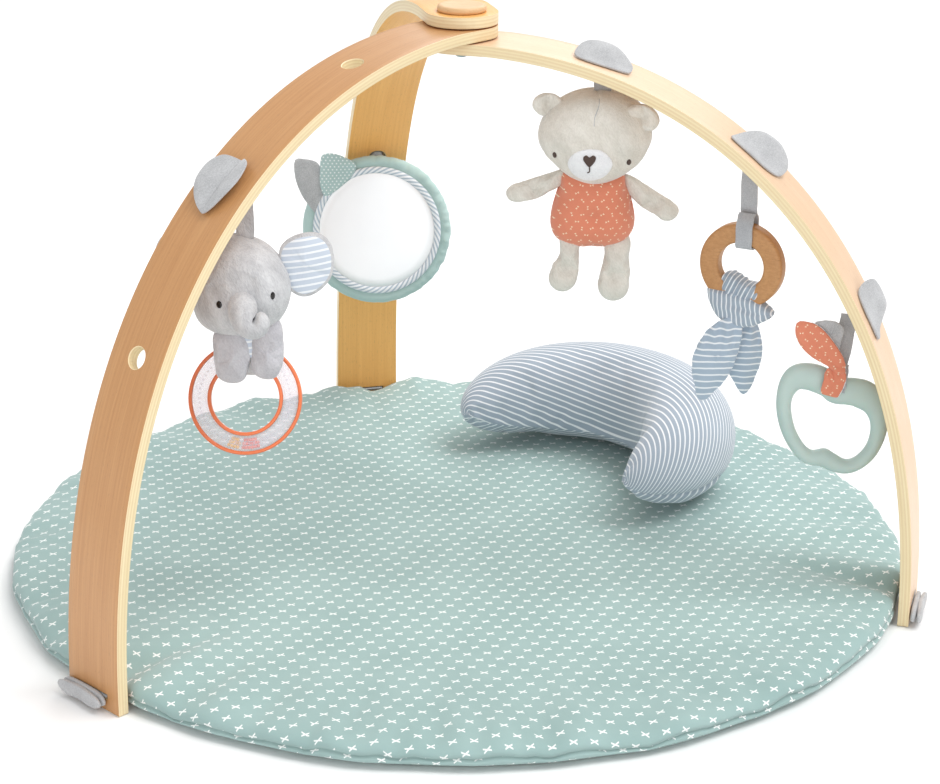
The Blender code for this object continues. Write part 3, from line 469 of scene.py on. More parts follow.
PLAIN_COTTONS = {
    "sage_plain": ((0.46, 0.61, 0.585), (0.39, 0.545, 0.52), 1500.0, 0.00015, 0.5),
    "sage_cord": ((0.33, 0.47, 0.45), (0.28, 0.41, 0.39), 1500.0, 0.00015, 0.5),
    "sage_backing": ((0.36, 0.47, 0.44), (0.30, 0.41, 0.38), 900.0, 0.0003, 0.6),
}
for label, (tone, deep, threads, bump, strength) in PLAIN_COTTONS.items():
    tree, shader, place, colour, thread = cotton(label, tone, deep, threads)
    end_finish(tree, shader, colour, thread, bump, strength)

PRINTED_COTTONS = {
    "sage_dotted": (
        (0.44, 0.58, 0.57), (0.38, 0.52, 0.51), CREAM, 0.8,
        {"Pitch X": 0.0046, "Pitch Y": 0.0034, "Reach": 0.0008, "Slope": 0.0, "Stroke": 0.0008},
    ),
    "coral_cotton": (
        (0.73, 0.245, 0.145), (0.65, 0.21, 0.12), (0.93, 0.80, 0.58), 0.95,
        {"Pitch X": 0.0092, "Pitch Y": 0.0068, "Reach": 0.0018, "Slope": 0.30, "Stroke": 0.00026, "Spin": 5.5,
         "Gap": 0.0005},
    ),
}
for label, (tone, deep, ink, cover, pattern) in PRINTED_COTTONS.items():
    tree, shader, place, colour, thread = cotton(label, tone, deep)
    upright = scaled(tree, place, (1.0, 1.0, 1.0), (math.pi / 2, 0.0, 0.0))
    printed = place_group(tree, marks, {"Vector": upright, **pattern})["Mask"]
    colour = mix_colours(tree, sums(tree, "MULTIPLY", printed, cover), colour, ink)
    end_finish(tree, shader, colour, thread, 0.00015, 0.5)

# %% Striped jersey
STRIPE_GROUNDS = {
    "stripe_ear": (0.60, 0.665, 0.76), "stripe_binding": (0.46, 0.54, 0.62),
    "stripe_tail": (0.39, 0.48, 0.58),
}
STRIPE_BLUE = (0.345, 0.41, 0.49)
STRIPE_WHITE = (0.88, 0.90, 0.92)
STRIPED = {
    "stripe_pillow": (0.0060, 0.0, 0.26),
    "stripe_pillow_under": (0.0060, 0.0, 0.26),
    "stripe_ear": (0.0058, 82.0, 0.32),
    "stripe_knot": (0.0046, 0.0, 0.26),
    "stripe_tail": (0.0066, 90.0, 0.24),
    "stripe_binding": (0.0044, 52.0, 0.55),
}
for label, (pitch, angle, share) in STRIPED.items():
    ground = STRIPE_GROUNDS.get(label, STRIPE_BLUE)
    tree, shader, place, colour, thread = cotton(label, ground, tuple(c * 0.87 for c in ground), 1900.0, 0.3)
    cut = add_node(tree, "UVMap", uv_map="cut").outputs[0]
    inputs = {"Vector": cut, "Pitch": pitch, "Angle": math.radians(angle), "Share": share}
    bars = place_group(tree, stripes, inputs)["Mask"]
    colour = mix_colours(tree, sums(tree, "MULTIPLY", bars, 0.9), colour, STRIPE_WHITE)
    end_finish(tree, shader, colour, thread, 0.00015, 0.5)

# %% Plush
PLUSH = {
    "elephant_plush": ((0.67, 0.67, 0.68), (0.44, 0.44, 0.455), (1.0, 1.0, 0.30)),
    "paw_plush": ((0.63, 0.62, 0.65), (0.46, 0.45, 0.48), (1.0, 1.0, 0.5)),
    "bear_plush": ((0.78, 0.745, 0.68), (0.62, 0.585, 0.52), (1.0, 1.0, 0.35)),
    "white_plush": ((0.86, 0.86, 0.87), (0.76, 0.76, 0.78), (1.0, 1.0, 1.0)),
}
for label, (tip, root, lay) in PLUSH.items():
    tree, shader, place = begin_finish(label, 0.95, Sheen_Weight=0.6, Sheen_Roughness=0.35)
    slanted = scaled(tree, place, (1.0, 1.0, 1.0), (0.0, math.radians(28.0), 0.0))
    fur = place_group(tree, pile, {"Vector": slanted, "Lay": lay, "Tufts": 900.0})
    colour = mix_colours(tree, fur["Shade"], root, tip)
    end_finish(tree, shader, colour, fur["Height"], 0.0011, 0.75)

# %% Felt, webbing and thread
FELTS = {
    "grey_felt": ((0.56, 0.565, 0.575), (0.36, 0.365, 0.375)),
    "grey_webbing": ((0.49, 0.50, 0.52), (0.34, 0.35, 0.37)),
}
for label, (light_fibre, dark_fibre) in FELTS.items():
    tree, shader, place = begin_finish(label, 0.95, Sheen_Weight=0.3, Sheen_Roughness=0.5)
    tangle = fine_noise(tree, place, 950.0, 4.0, 0.7)
    patches = place_group(tree, mottle, {"Vector": place, "Patches": 60.0})["Mask"]
    fibres = sums(tree, "MULTIPLY_ADD", patches, 0.35, fade(tree, tangle, 0.36, 0.64, 0.0, 0.65))
    colour = mix_colours(tree, fibres, dark_fibre, light_fibre)
    end_finish(tree, shader, colour, tangle, 0.0004, 0.6)

for label, tone in {"brown_thread": (0.075, 0.038, 0.026), "grey_stitch": (0.30, 0.30, 0.31)}.items():
    tree, shader, place = begin_finish(label, 0.6, Sheen_Weight=0.2)
    strands = fine_noise(tree, scaled(tree, place, (2600.0, 2600.0, 300.0)), 1.0, 1.0)
    deeper = tuple(channel * 0.6 for channel in tone)
    end_finish(tree, shader, mix_colours(tree, strands, deeper, tone), strands, 0.0003, 0.7)
print("all finishes:", len(finishes))

# %% [markdown]
# ## Tools for making pieces
# Each piece is one bmesh that ends as a named object. Its place is in its mesh, so its object
# stays at the origin. Each one is told which body it rides on, which finishes coat it, and which
# plain solids of the frame it stands for.


# %% Piece helpers
def ease(value, start, end):
    """0 before start, 1 after end, smooth in between."""
    share = min(max((value - start) / (end - start), 0.0), 1.0)
    return share * share * (3.0 - 2.0 * share)


def bell(value, width):
    return math.exp(-((value / width) ** 2))


def toy_place(joint_name):
    """A toy's own frame: at its hinge, X to its right, Y away from the viewer, Z up."""
    joint = joints[joint_name]
    turn = math.atan2(joint["axis"][1], joint["axis"][0])
    return Matrix.Translation(joint["pos_m"]) @ Matrix.Rotation(turn, 4, "Z")


def finish_piece(name, bm, coats, body, replaces=(), place=None):
    """Turn a bmesh into a piece that rides on a body."""
    if place is not None:
        bmesh.ops.transform(bm, matrix=place, verts=bm.verts)
    bmesh.ops.remove_doubles(bm, verts=bm.verts, dist=1e-6)
    bmesh.ops.recalc_face_normals(bm, faces=bm.faces)
    mesh = bpy.data.meshes.new(name)
    bm.to_mesh(mesh)
    bm.free()
    for coat in coats:
        mesh.materials.append(finishes[coat])
    mesh.polygons.foreach_set("use_smooth", [True] * len(mesh.polygons))
    piece = bpy.data.objects.new(name, mesh)
    bpy.context.collection.objects.link(piece)
    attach(piece, body)
    if replaces:
        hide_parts(*replaces)
    return piece


def pour(source, target):
    """Move everything in one bmesh into another."""
    scratch = bpy.data.meshes.new("scratch")
    source.to_mesh(scratch)
    source.free()
    target.from_mesh(scratch)
    bpy.data.meshes.remove(scratch)


def spin_line(line, steps, closed=False):
    """Spin a (radius, height) line about Z. Its poles and its seam come out closed."""
    bm = bmesh.new()
    verts = [bm.verts.new((radius, 0.0, height)) for radius, height in line]
    ends = verts[1:] + verts[:1] if closed else verts[1:]
    edges = [bm.edges.new(pair) for pair in zip(verts, ends)]
    bmesh.ops.spin(
        bm, geom=verts + edges, cent=(0, 0, 0), axis=(0, 0, 1), angle=2 * math.pi, steps=steps, use_merge=True
    )
    bmesh.ops.remove_doubles(bm, verts=bm.verts, dist=1e-6)
    return bm


def bake_modifiers(piece):
    """Make a piece's modifiers part of its mesh."""
    graph = bpy.context.evaluated_depsgraph_get()
    baked = bpy.data.meshes.new_from_object(
        piece.evaluated_get(graph), preserve_all_data_layers=True, depsgraph=graph,
    )
    piece.modifiers.clear()
    piece.data = baked


def round_off(piece, levels=1):
    """Live subdivision, the same in the view as in the render."""
    modifier = piece.modifiers.new("round_off", "SUBSURF")
    modifier.levels = levels
    modifier.render_levels = levels


# %% [markdown]
# ## Bent plywood arms
# Each arm is one strip that is round at the hub and square at the floor. It could be cut from a
# block, but a real one is pressed flat veneer, and so is this: a flat grid is moved onto the
# arch, given its thickness, and its long edges are eased. Holes are cut last, by spools whose
# flared ends leave a small chamfer. The arch is a superellipse, fuller than a circle.

# %% Arm shape
ARM_REACH = 0.4606
ARM_RISE = 0.5332
ARM_POWER = 2.23
PLY = 0.0106
HUB_WIDTH = 0.069
FOOT_WIDTH = 0.0715
WAIST = 0.0025
HUB_FLAT = 0.036
LEVEL_PITCH = 0.0121
ARMS = {
    "right": (330.0, 0, "right_arm"),
    "left": (212.3, 1, "left_arm"),
    "rear": (91.0, 2, "root"),
}
# The right arm wears the copy painted light, the left arm the copy painted shade.
ARM_COATS = {"right": "arm_face_bright", "left": "arm_face", "rear": "arm_face_golden"}
HOLE_STATIONS = (0.142, 0.315, 0.488)
HOLE_RADIUS = 0.010
BOLT_HOLE_RADIUS = 0.0046
FOOT_SLOT_HEIGHT = 0.0135
FOOT_SLOT_SIZE = (0.05, 0.040, 0.005)
EASED_EDGE = 0.0011
CURVE_STEPS = 600


def arm_curve(rise):
    """Points (distance, reach, height) down the outer surface from the hub's axis to the floor."""
    rows = []
    distance = 0.0
    for step in range(CURVE_STEPS + 1):
        angle = 0.5 * math.pi * step / CURVE_STEPS
        reach = ARM_REACH * math.sin(angle) ** (2.0 / ARM_POWER)
        height = rise * max(math.cos(angle), 0.0) ** (2.0 / ARM_POWER)
        if rows:
            distance += math.hypot(reach - rows[-1][1], height - rows[-1][2])
        rows.append((distance, reach, height))
    return rows


def arm_station(curve, distance):
    """Point and outward normal on the outer surface, in the arm's upright XZ plane."""
    index = next((i for i, row in enumerate(curve) if row[0] >= distance), len(curve) - 1)
    before, after = curve[index - 1], curve[index]
    share = min((distance - before[0]) / (after[0] - before[0]), 1.0)
    point = Vector(
        (before[1] + share * (after[1] - before[1]), 0.0, before[2] + share * (after[2] - before[2]))
    )
    normal = Vector((before[2] - after[2], 0.0, after[1] - before[1])).normalized()
    return point, normal


def arm_width(share):
    return HUB_WIDTH + (FOOT_WIDTH - HUB_WIDTH) * share - 4.0 * WAIST * share * (1.0 - share)


# %% One arm
END_STEPS = 12
LENGTH_STEPS = 120
ACROSS_STEPS = 8


def bent_strip(curve, plate):
    """Flat grid moved onto the arch: a half disc round the hub's axis, then the long bend."""
    length = curve[-1][0]
    steps = END_STEPS + LENGTH_STEPS
    bm = bmesh.new()
    bmesh.ops.create_grid(bm, x_segments=steps, y_segments=ACROSS_STEPS, size=0.5)
    for vert in bm.verts:
        step = round((vert.co.x + 0.5) * steps)
        across = vert.co.y * 2.0
        if step <= END_STEPS:
            angle = math.radians(7.0 + 83.0 * step / END_STEPS)
            half = HUB_WIDTH / 2.0 * math.sin(angle)
            vert.co = (-HUB_WIDTH / 2.0 * math.cos(angle), across * half, plate)
            continue
        distance = length * (step - END_STEPS) / LENGTH_STEPS
        half = arm_width(distance / length) / 2.0
        point = Vector((distance, 0.0, plate)) if distance <= HUB_FLAT else arm_station(curve, distance)[0]
        if step == steps:
            point = Vector((ARM_REACH, 0.0, 0.0))
        vert.co = (point.x, across * half, point.z)
    return bm


def give_thickness(bm, curve, plate):
    """Extrude the strip's faces inwards by the thickness of the plywood."""
    outer = set(bm.verts)
    made = bmesh.ops.extrude_face_region(bm, geom=bm.faces[:])
    for vert in [item for item in made["geom"] if isinstance(item, bmesh.types.BMVert)]:
        if abs(vert.co.z - plate) < 1e-6:
            vert.co.z -= PLY
            continue
        if vert.co.z < 1e-6:
            vert.co.x -= PLY
            continue
        nearest = min(curve, key=lambda row: (row[1] - vert.co.x) ** 2 + (row[2] - vert.co.z) ** 2)
        vert.co -= arm_station(curve, max(nearest[0], 1e-4))[1] * PLY
    return outer


def spool(bm, point, normal, radius, depth, chamfer=0.0008):
    """Cutter for a hole: a cylinder whose two ends flare into chamfers."""
    half = depth / 2.0
    flare = 0.003
    profile = [
        (0.0, half + flare),
        (radius + chamfer + flare, half + flare),
        (radius, half - chamfer),
        (radius, chamfer - half),
        (radius + chamfer + flare, -half - flare),
        (0.0, -half - flare),
    ]
    spool_bm = spin_line(profile, 40)
    turn = normal.to_track_quat("Z", "Y").to_matrix().to_4x4()
    bmesh.ops.transform(
        spool_bm, matrix=Matrix.Translation(point - normal * half) @ turn, verts=spool_bm.verts,
    )
    bmesh.ops.recalc_face_normals(spool_bm, faces=spool_bm.faces)
    pour(spool_bm, bm)


def cut_away(piece, cutter_bm):
    """Boolean the cutter out of the piece and keep the result as its mesh."""
    mesh = bpy.data.meshes.new("cutter")
    cutter_bm.to_mesh(mesh)
    cutter_bm.free()
    cutter = bpy.data.objects.new("cutter", mesh)
    bpy.context.collection.objects.link(cutter)
    modifier = piece.modifiers.new("cut", "BOOLEAN")
    modifier.operation = "DIFFERENCE"
    modifier.solver = "EXACT"
    modifier.object = cutter
    bake_modifiers(piece)
    bpy.data.objects.remove(cutter)


def map_grain(mesh, curve, unturn):
    """Lay the grain map: length and width on the broad faces, length and depth on the edges."""
    samples = curve[::3]
    layer = mesh.uv_layers.new(name="grain") if "grain" not in mesh.uv_layers else mesh.uv_layers["grain"]
    found = {}
    for vert in mesh.vertices:
        local = unturn @ vert.co
        nearest = min(samples, key=lambda row: (row[1] - local.x) ** 2 + (row[2] - local.z) ** 2)
        point, normal = arm_station(curve, max(nearest[0], 1e-4))
        offset = Vector((local.x - point.x, 0.0, local.z - point.z))
        tangent = Vector((-normal.z, 0.0, normal.x))
        found[vert.index] = (nearest[0] - offset.dot(tangent), local.y, -offset.dot(normal))
    for polygon in mesh.polygons:
        middle = unturn @ polygon.center
        nearest = min(samples, key=lambda row: (row[1] - middle.x) ** 2 + (row[2] - middle.z) ** 2)
        normal = unturn.to_3x3() @ polygon.normal
        broad = abs(normal.dot(arm_station(curve, max(nearest[0], 1e-4))[1])) > 0.75
        polygon.material_index = 0 if broad else 1
        for loop in polygon.loop_indices:
            length, across, depth = found[mesh.loops[loop].vertex_index]
            layer.data[loop].uv = (length, across if broad else depth)


def make_arm(side):
    azimuth, level, body = ARMS[side]
    rise = ARM_RISE + LEVEL_PITCH * level
    curve = arm_curve(rise)
    plate = rise * (1.0 - (HUB_FLAT / ARM_REACH) ** ARM_POWER) ** (1.0 / ARM_POWER)
    bm = bent_strip(curve, plate)
    give_thickness(bm, curve, plate)
    bmesh.ops.recalc_face_normals(bm, faces=bm.faces)
    sharp = [edge for edge in bm.edges if edge.calc_face_angle(0.0) > math.radians(50.0)]
    bmesh.ops.bevel(
        bm, geom=sharp, offset=EASED_EDGE, segments=3, profile=0.5, affect="EDGES", material=-1,
        clamp_overlap=True
    )
    turn = Matrix.Rotation(math.radians(azimuth), 4, "Z")
    coats = (ARM_COATS[side], "arm_edge")
    piece = finish_piece(f"plywood_arm_{side}", bm, coats, body, (f"arm_{side}",), turn)
    cutters = bmesh.new()
    for distance in HOLE_STATIONS:
        spool(cutters, *arm_station(curve, distance), HOLE_RADIUS, PLY)
    spool(cutters, Vector((0.0, 0.0, plate)), Vector((0.0, 0.0, 1.0)), BOLT_HOLE_RADIUS, PLY, 0.0)
    slot_cutter = bmesh.ops.create_cube(cutters, size=1.0)["verts"]
    bmesh.ops.scale(cutters, vec=FOOT_SLOT_SIZE, verts=slot_cutter)
    bmesh.ops.translate(cutters, vec=(ARM_REACH - PLY / 2.0, 0.0, FOOT_SLOT_HEIGHT), verts=slot_cutter)
    bmesh.ops.transform(cutters, matrix=turn, verts=cutters.verts)
    cut_away(piece, cutters)
    map_grain(piece.data, curve, turn.inverted())
    piece.data.set_sharp_from_angle(angle=math.radians(32.0))
    return curve, plate


arm_curves = {side: make_arm(side) for side in ARMS}
print("arm length on the outer surface:", round(arm_curves["right"][0][-1][0], 4))

# %% [markdown]
# ## Hub
# One bolt holds the three arms. Its nut and washers are steel and nylon, and a turned wooden
# cap hides its head. Their shapes in the frame are right, so they only get better finishes. The
# cap gets its own turned profile, with the shallow dish and soft rim that a lathe leaves.

# %% Hub finishes and cap
for node, coat in {
    "hub_bolt": "steel", "hub_nut": "steel", "hub_washer_low": "nylon", "hub_washer_high": "nylon"
}.items():
    mesh = frame["nodes"][node].data
    mesh.materials.clear()
    mesh.materials.append(finishes[coat])

cap_low, cap_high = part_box("hub_cap")
CAP_PROFILE = (
    (0.0, 0.93), (0.0160, 0.94), (0.0186, 1.0), (0.0208, 1.0), (0.0224, 0.90), (0.0232, 0.70), (0.0235, 0.35),
    (0.0230, 0.06), (0.0222, 0.0), (0.0, 0.0),
)


cap_height = cap_high.z - cap_low.z
CAP_STEPS = 64
cap_bm = spin_line([(radius, cap_low.z + height * cap_height) for radius, height in CAP_PROFILE], CAP_STEPS)
cap = finish_piece("hub_cap_turned", cap_bm, ("beech_cap",), "root", ("hub_cap",))
cap.data.set_sharp_from_angle(angle=math.radians(50.0))
print("hub cap", [round(x, 4) for x in cap_low], [round(x, 4) for x in cap_high])

# %% [markdown]
# ## Padded mat
# The mat is two discs of cotton sewn at the rim over wadding, tied to the three feet. A plain
# disc would look like a board, so the turned shape is rumpled by one function: slow swells in
# the middle, radial puckers that grow towards the seam, and a pulled-in valley at each foot. The
# seam cord goes through the same function, so it stays with the mat; the backing is a flat disc.

# %% Mat
MAT_RADIUS = 0.4483
MAT_TOP = 0.0300
SEAM_HEIGHT = 0.0150
UNDERSIDE = 0.0023
SEAM_CORD_RADIUS = 0.0014
SEAM_CORD_REACH = 0.9905
MAT_STEPS = 384


def rumple(point):
    """Where a point of the even, flat mat lies after sewing, tying and use."""
    radius = math.hypot(point.x, point.y)
    azimuth = math.atan2(point.y, point.x)
    lift = ease(point.z, 0.003, 0.018)
    near_rim = ease(radius, 0.31, 0.43)
    ring = Vector((math.cos(azimuth) * 9.0, math.sin(azimuth) * 9.0, radius * 5.0))
    pucker = noise.noise(ring) + 0.55 * noise.noise(ring * 2.3)
    pucker += ease(radius, 0.37, 0.44) * 0.5 * noise.noise(ring * 3.7)
    swell = 0.5 + 0.5 * noise.noise(Vector((point.x * 5.5, point.y * 5.5, 2.7)))
    fold = noise.noise(Vector((point.x * 13.0 + 4.0, point.y * 13.0, 7.7)))
    rise = near_rim * 0.0056 * pucker - 0.0034 * swell - near_rim * 0.0022 * (0.5 + fold)
    reach = near_rim * 0.0035 * noise.noise(ring * 0.8 + Vector((5.0, 1.0, 0.0)))
    for foot_azimuth, _level, _body in ARMS.values():
        turn = math.remainder(azimuth - math.radians(foot_azimuth), 2.0 * math.pi)
        aside = turn * MAT_RADIUS
        inward = ease(radius, 0.29, 0.44)
        crooked = aside - 0.020 * (1.0 - inward)
        rise -= 0.0085 * inward * bell(crooked, 0.014)
        rise += 0.0040 * inward * (bell(aside - 0.045, 0.022) + bell(aside + 0.045, 0.022))
        reach -= 0.0045 * ease(radius, 0.40, 0.445) * bell(aside, 0.030)
    reach = min(reach, 0.0035)
    scale = (radius + reach) / radius if radius > 1e-6 else 1.0
    height = max(point.z + rise * lift, min(point.z, 0.0024))
    return Vector((point.x * scale, point.y * scale, height))


def mat_profile():
    """Half section of the mat: top, soft shoulder, seam pinch, underside."""
    line = [(MAT_RADIUS * 0.80 * i / 44, MAT_TOP) for i in range(45)]
    for i in range(1, 15):
        share = i / 14
        radius = MAT_RADIUS * (0.80 + 0.197 * math.sin(share * math.pi / 2.0))
        line.append(
            (radius, SEAM_HEIGHT + 0.001 + (MAT_TOP - SEAM_HEIGHT - 0.001) * (1.0 - share**2.6) ** 0.75)
        )
    line.append((MAT_RADIUS * 0.9860, SEAM_HEIGHT))
    for i in range(1, 7):
        share = i / 6
        bulge = 0.9960 + 0.0035 * math.sin(math.pi * share) - 0.03 * share**4
        line.append((MAT_RADIUS * bulge, SEAM_HEIGHT - 0.001 - (SEAM_HEIGHT - 0.0035) * share**0.9))
    line += [(MAT_RADIUS * 0.93, UNDERSIDE), (MAT_RADIUS * 0.6, UNDERSIDE), (0.0, UNDERSIDE)]
    return line


def lay_mat_cut(bm, profile):
    """Cut map of the mat: how far each point is from the middle, measured over the cloth."""
    cut = bm.loops.layers.uv.new("cut")
    travel = [0.0]
    for first, second in zip(profile, profile[1:]):
        travel.append(travel[-1] + math.hypot(second[0] - first[0], second[1] - first[1]))
    for face in bm.faces:
        for loop in face.loops:
            co = loop.vert.co
            radius = math.hypot(co.x, co.y)
            off = [(row[0] - radius) ** 2 + (row[1] - co.z) ** 2 for row in profile]
            scale = travel[off.index(min(off))] / radius if radius > 1e-6 else 0.0
            loop[cut].uv = (co.x * scale, co.y * scale)


mat_bm = spin_line(mat_profile(), MAT_STEPS)
lay_mat_cut(mat_bm, mat_profile())
for vert in mat_bm.verts:
    vert.co = rumple(vert.co)
mat = finish_piece("quilted_mat", mat_bm, ("sage_print",), "root", ("mat_pad",))
print("mat:", len(mat.data.polygons), "faces")

seam_bm = bmesh.new()
seam_ring = bmesh.ops.create_circle(seam_bm, segments=8, radius=SEAM_CORD_RADIUS, cap_ends=False)["verts"]
bmesh.ops.rotate(seam_bm, verts=seam_ring, cent=(0, 0, 0), matrix=Matrix.Rotation(math.pi / 2, 3, "X"))
bmesh.ops.translate(seam_bm, verts=seam_ring, vec=(MAT_RADIUS * SEAM_CORD_REACH, 0.0, SEAM_HEIGHT))
bmesh.ops.spin(
    seam_bm, geom=seam_bm.verts[:] + seam_bm.edges[:], cent=(0, 0, 0), axis=(0, 0, 1), angle=2 * math.pi,
    steps=MAT_STEPS, use_merge=True,
)
for vert in seam_bm.verts:
    vert.co = rumple(vert.co)
finish_piece("mat_seam_cord", seam_bm, ("sage_cord",), "root", ("mat_piping",))

backing_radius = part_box("mat_backing")[1].x
backing_bm = spin_line(
    [
        (0.0, 0.0), (backing_radius - 0.001, 0.0), (backing_radius, 0.0008),
        (backing_radius - 0.0005, 0.0020), (0.0, 0.0020),
    ],
    96,
)
finish_piece("mat_underside", backing_bm, ("sage_backing",), "root", ("mat_backing",))

# %% [markdown]
# ## Stuffing
# Cloth simulation makes the padded pieces. The pillow starts a few millimetres small; each
# piece has its seam points pinned, its cloth cut a little slack, and pressure fills it. All the
# pieces are blown up in one run, later, because the run costs the same steps for one piece as
# for twenty. A limit on how far a point may move keeps every piece clear of its neighbours.

# %% Stuffing tools
STUFFING_FRAMES = 20
stuffed = []


def stuff(piece, pressure=4.0, limit=0.004, slack=0.03):
    """Get a piece ready for the stuffing run. Its pin values say which points are sewn down."""
    group = piece.vertex_groups.new(name="sewn")
    for index, value in enumerate(piece.data.attributes["pin"].data):
        if value.value > 0.0:
            group.add([index], value.value, "REPLACE")
    cloth = piece.modifiers.new("stuffing", "CLOTH")
    settings = cloth.settings
    settings.quality = 5
    settings.mass = 0.15
    settings.vertex_group_mass = "sewn"
    settings.use_pressure = True
    settings.uniform_pressure_force = pressure
    settings.shrink_min = -slack
    settings.tension_stiffness = 12.0
    settings.compression_stiffness = 12.0
    settings.bending_stiffness = 0.3
    settings.effector_weights.gravity = 0.0
    cloth.collision_settings.use_collision = False
    stuffed.append((piece, limit))


def run_stuffing():
    """Step the simulation once for every piece, then keep the shapes."""
    scene = bpy.context.scene
    before = {piece.name: [vert.co.copy() for vert in piece.data.vertices] for piece, _limit in stuffed}
    for number in range(1, STUFFING_FRAMES + 1):
        scene.frame_set(number)
    graph = bpy.context.evaluated_depsgraph_get()
    for piece, limit in stuffed:
        after = [vert.co.copy() for vert in piece.evaluated_get(graph).data.vertices]
        for vert, old, new in zip(piece.data.vertices, before[piece.name], after):
            move = new - old
            if move.length > limit:
                move *= limit / move.length
            vert.co = old + move
        largest = max((new - old).length for old, new in zip(before[piece.name], after))
        print(f"stuffed {piece.name}: largest free move {largest * 1000:.1f} mm, limit {limit * 1000:.1f} mm")
    for piece, _limit in stuffed:
        piece.modifiers.remove(piece.modifiers["stuffing"])
    scene.frame_set(1)


# %% [markdown]
# ## Crescent pillow
# Two crescents of striped jersey are sewn edge to edge and stuffed. The tube is built round the
# arc in even rings, whose first and last rows meet on the outer seam.
# The cut map measures the cloth along one slanted line, a different one for each panel. Past the
# crown it goes on rising, as cloth does, so no stripe closes into a ring at the back. The
# seam row is pinned and cloth simulation blows up the rest, which puckers the fabric there.

# %% Pillow
PILLOW_CENTRE = Vector((0.1354, 0.0909))
PILLOW_ARC = 0.1251
PILLOW_FROM = 131.0
PILLOW_TO = -77.0
PILLOW_HALF_WIDTH = 0.0448
PILLOW_HALF_HEIGHT = 0.0502
PILLOW_RINGS = 84
PILLOW_SIDES = 56
PILLOW_SHRINK = 0.0035
SEAM_TURN = math.radians(-32.0)
PILLOW_SINK = 0.004
STRIPE_LIE = (Vector((0.433, 0.25, 0.866)), Vector((0.62, -0.10, -0.78)))


def pillow_ring(share):
    """Centre, outward direction, half width and half height of one ring."""
    lean = 2.0 * share - 1.0
    angle = math.radians(PILLOW_FROM + (PILLOW_TO - PILLOW_FROM) * share)
    taper = math.sqrt(max(1.0 - abs(lean) ** 3.8, 0.0))
    swell = 1.0 - lean * lean
    half_width = PILLOW_HALF_WIDTH * (1.0 - 0.092 * lean + 0.338 * swell)
    half_height = PILLOW_HALF_HEIGHT * (1.0 + 0.20 * swell)
    outward = Vector((math.cos(angle), math.sin(angle)))
    return PILLOW_CENTRE + outward * PILLOW_ARC, outward, half_width, half_height, taper


def height_over_crown(turn):
    """Height across the tube that keeps on rising past the crown, as the cloth does."""
    start = 2.0 * math.pi / 3.0
    beyond = start - turn
    return math.sin(turn) if beyond < 0.0 else math.sin(start) + 0.5 * beyond + 0.12 * beyond**2


def make_pillow():
    """Grid wrapped into rings: row 0 and the last row meet on the outer seam."""
    bm = bmesh.new()
    cut = bm.loops.layers.uv.new("cut")
    pin = bm.verts.layers.float.new("pin")
    inner_seam = round((math.pi - 2.0 * SEAM_TURN) / (2.0 * math.pi) * PILLOW_SIDES)
    flat = {}
    laid_out = {}
    rows = {}
    bmesh.ops.create_grid(bm, x_segments=PILLOW_RINGS, y_segments=PILLOW_SIDES, size=0.5)
    for vert in bm.verts:
        column = round((vert.co.x + 0.5) * PILLOW_RINGS)
        row = round((vert.co.y + 0.5) * PILLOW_SIDES)
        share = 0.5 - 0.5 * math.cos(math.pi * (0.012 + 0.976 * column / PILLOW_RINGS))
        middle, outward, half_width, half_height, taper = pillow_ring(share)
        turn = SEAM_TURN + 2.0 * math.pi * row / PILLOW_SIDES
        wide = max(half_width * taper - PILLOW_SHRINK, 0.0005)
        tall = max(half_height * taper - PILLOW_SHRINK, 0.0005)
        place = middle + outward * (wide * math.cos(turn))
        vert.co = (place.x, place.y, MAT_TOP - PILLOW_SINK + half_height + tall * math.sin(turn))
        laid_out[vert] = vert.co + Vector((0.0, 0.0, tall * (height_over_crown(turn) - math.sin(turn))))
        flat[vert] = middle - outward * ((turn - math.pi / 2.0) * (wide + tall) / 2.0)
        rows[vert] = row
        vert[pin] = 1.0 if row in (0, PILLOW_SIDES, inner_seam) else 0.0
    for face in bm.faces:
        face.material_index = 1 if min(rows[vert] for vert in face.verts) >= inner_seam else 0
        lie = STRIPE_LIE[face.material_index]
        for loop in face.loops:
            point = loop.vert.co if face.material_index else laid_out[loop.vert]
            loop[cut].uv = (point.dot(lie), flat[loop.vert].y)
    bmesh.ops.remove_doubles(bm, verts=bm.verts, dist=1e-6)
    bmesh.ops.holes_fill(bm, edges=[edge for edge in bm.edges if edge.is_boundary], sides=0)
    coats = ("stripe_pillow", "stripe_pillow_under")
    return finish_piece("crescent_pillow", bm, coats, "pillow", ("pillow",))


pillow = make_pillow()
stuff(pillow, pressure=5.0, limit=0.0065, slack=0.05)
print("pillow:", len(pillow.data.vertices), "points")
# %% [markdown]
# ## Tools for sewn toys
# A plush toy is mostly pairs of panels, sewn round an outline and turned out. So one tool does
# heads, ears, limbs and leaves: a ball is drawn out sideways to the outline and given its depth
# front to back. Its middle ring is the seam. Tubes such as a trunk are rings joined in a row,
# and webbing is a flat grid laid along a line and made thick. Outlines are in millimetres.

# %% Sewing tools
MM = 0.001
SIDEWAYS = Vector((1.0, 0.0, 0.0))


def outline_reach(points, middle):
    """Distance from the middle to a smooth closed outline, as a function of the angle."""
    count = len(points)
    samples = []
    for index in range(count):
        a, b, c, d = (Vector(points[(index + step) % count]) for step in (-1, 0, 1, 2))
        for step in range(16):
            t = step / 16
            spot = 0.5 * (
                2 * b + (c - a) * t + (2 * a - 5 * b + 4 * c - d) * t**2 + (3 * b - a - 3 * c + d) * t**3
            )
            samples.append((math.atan2(spot.y - middle.y, spot.x - middle.x), (spot - middle).length))
    samples.sort()

    def reach(angle):
        above = next((i for i, sample in enumerate(samples) if sample[0] >= angle), 0)
        low, high = samples[above - 1], samples[above]
        span = (high[0] - low[0]) % (2 * math.pi)
        share = ((angle - low[0]) % (2 * math.pi)) / span if span > 1e-9 else 0.0
        return low[1] + (high[1] - low[1]) * share

    return reach


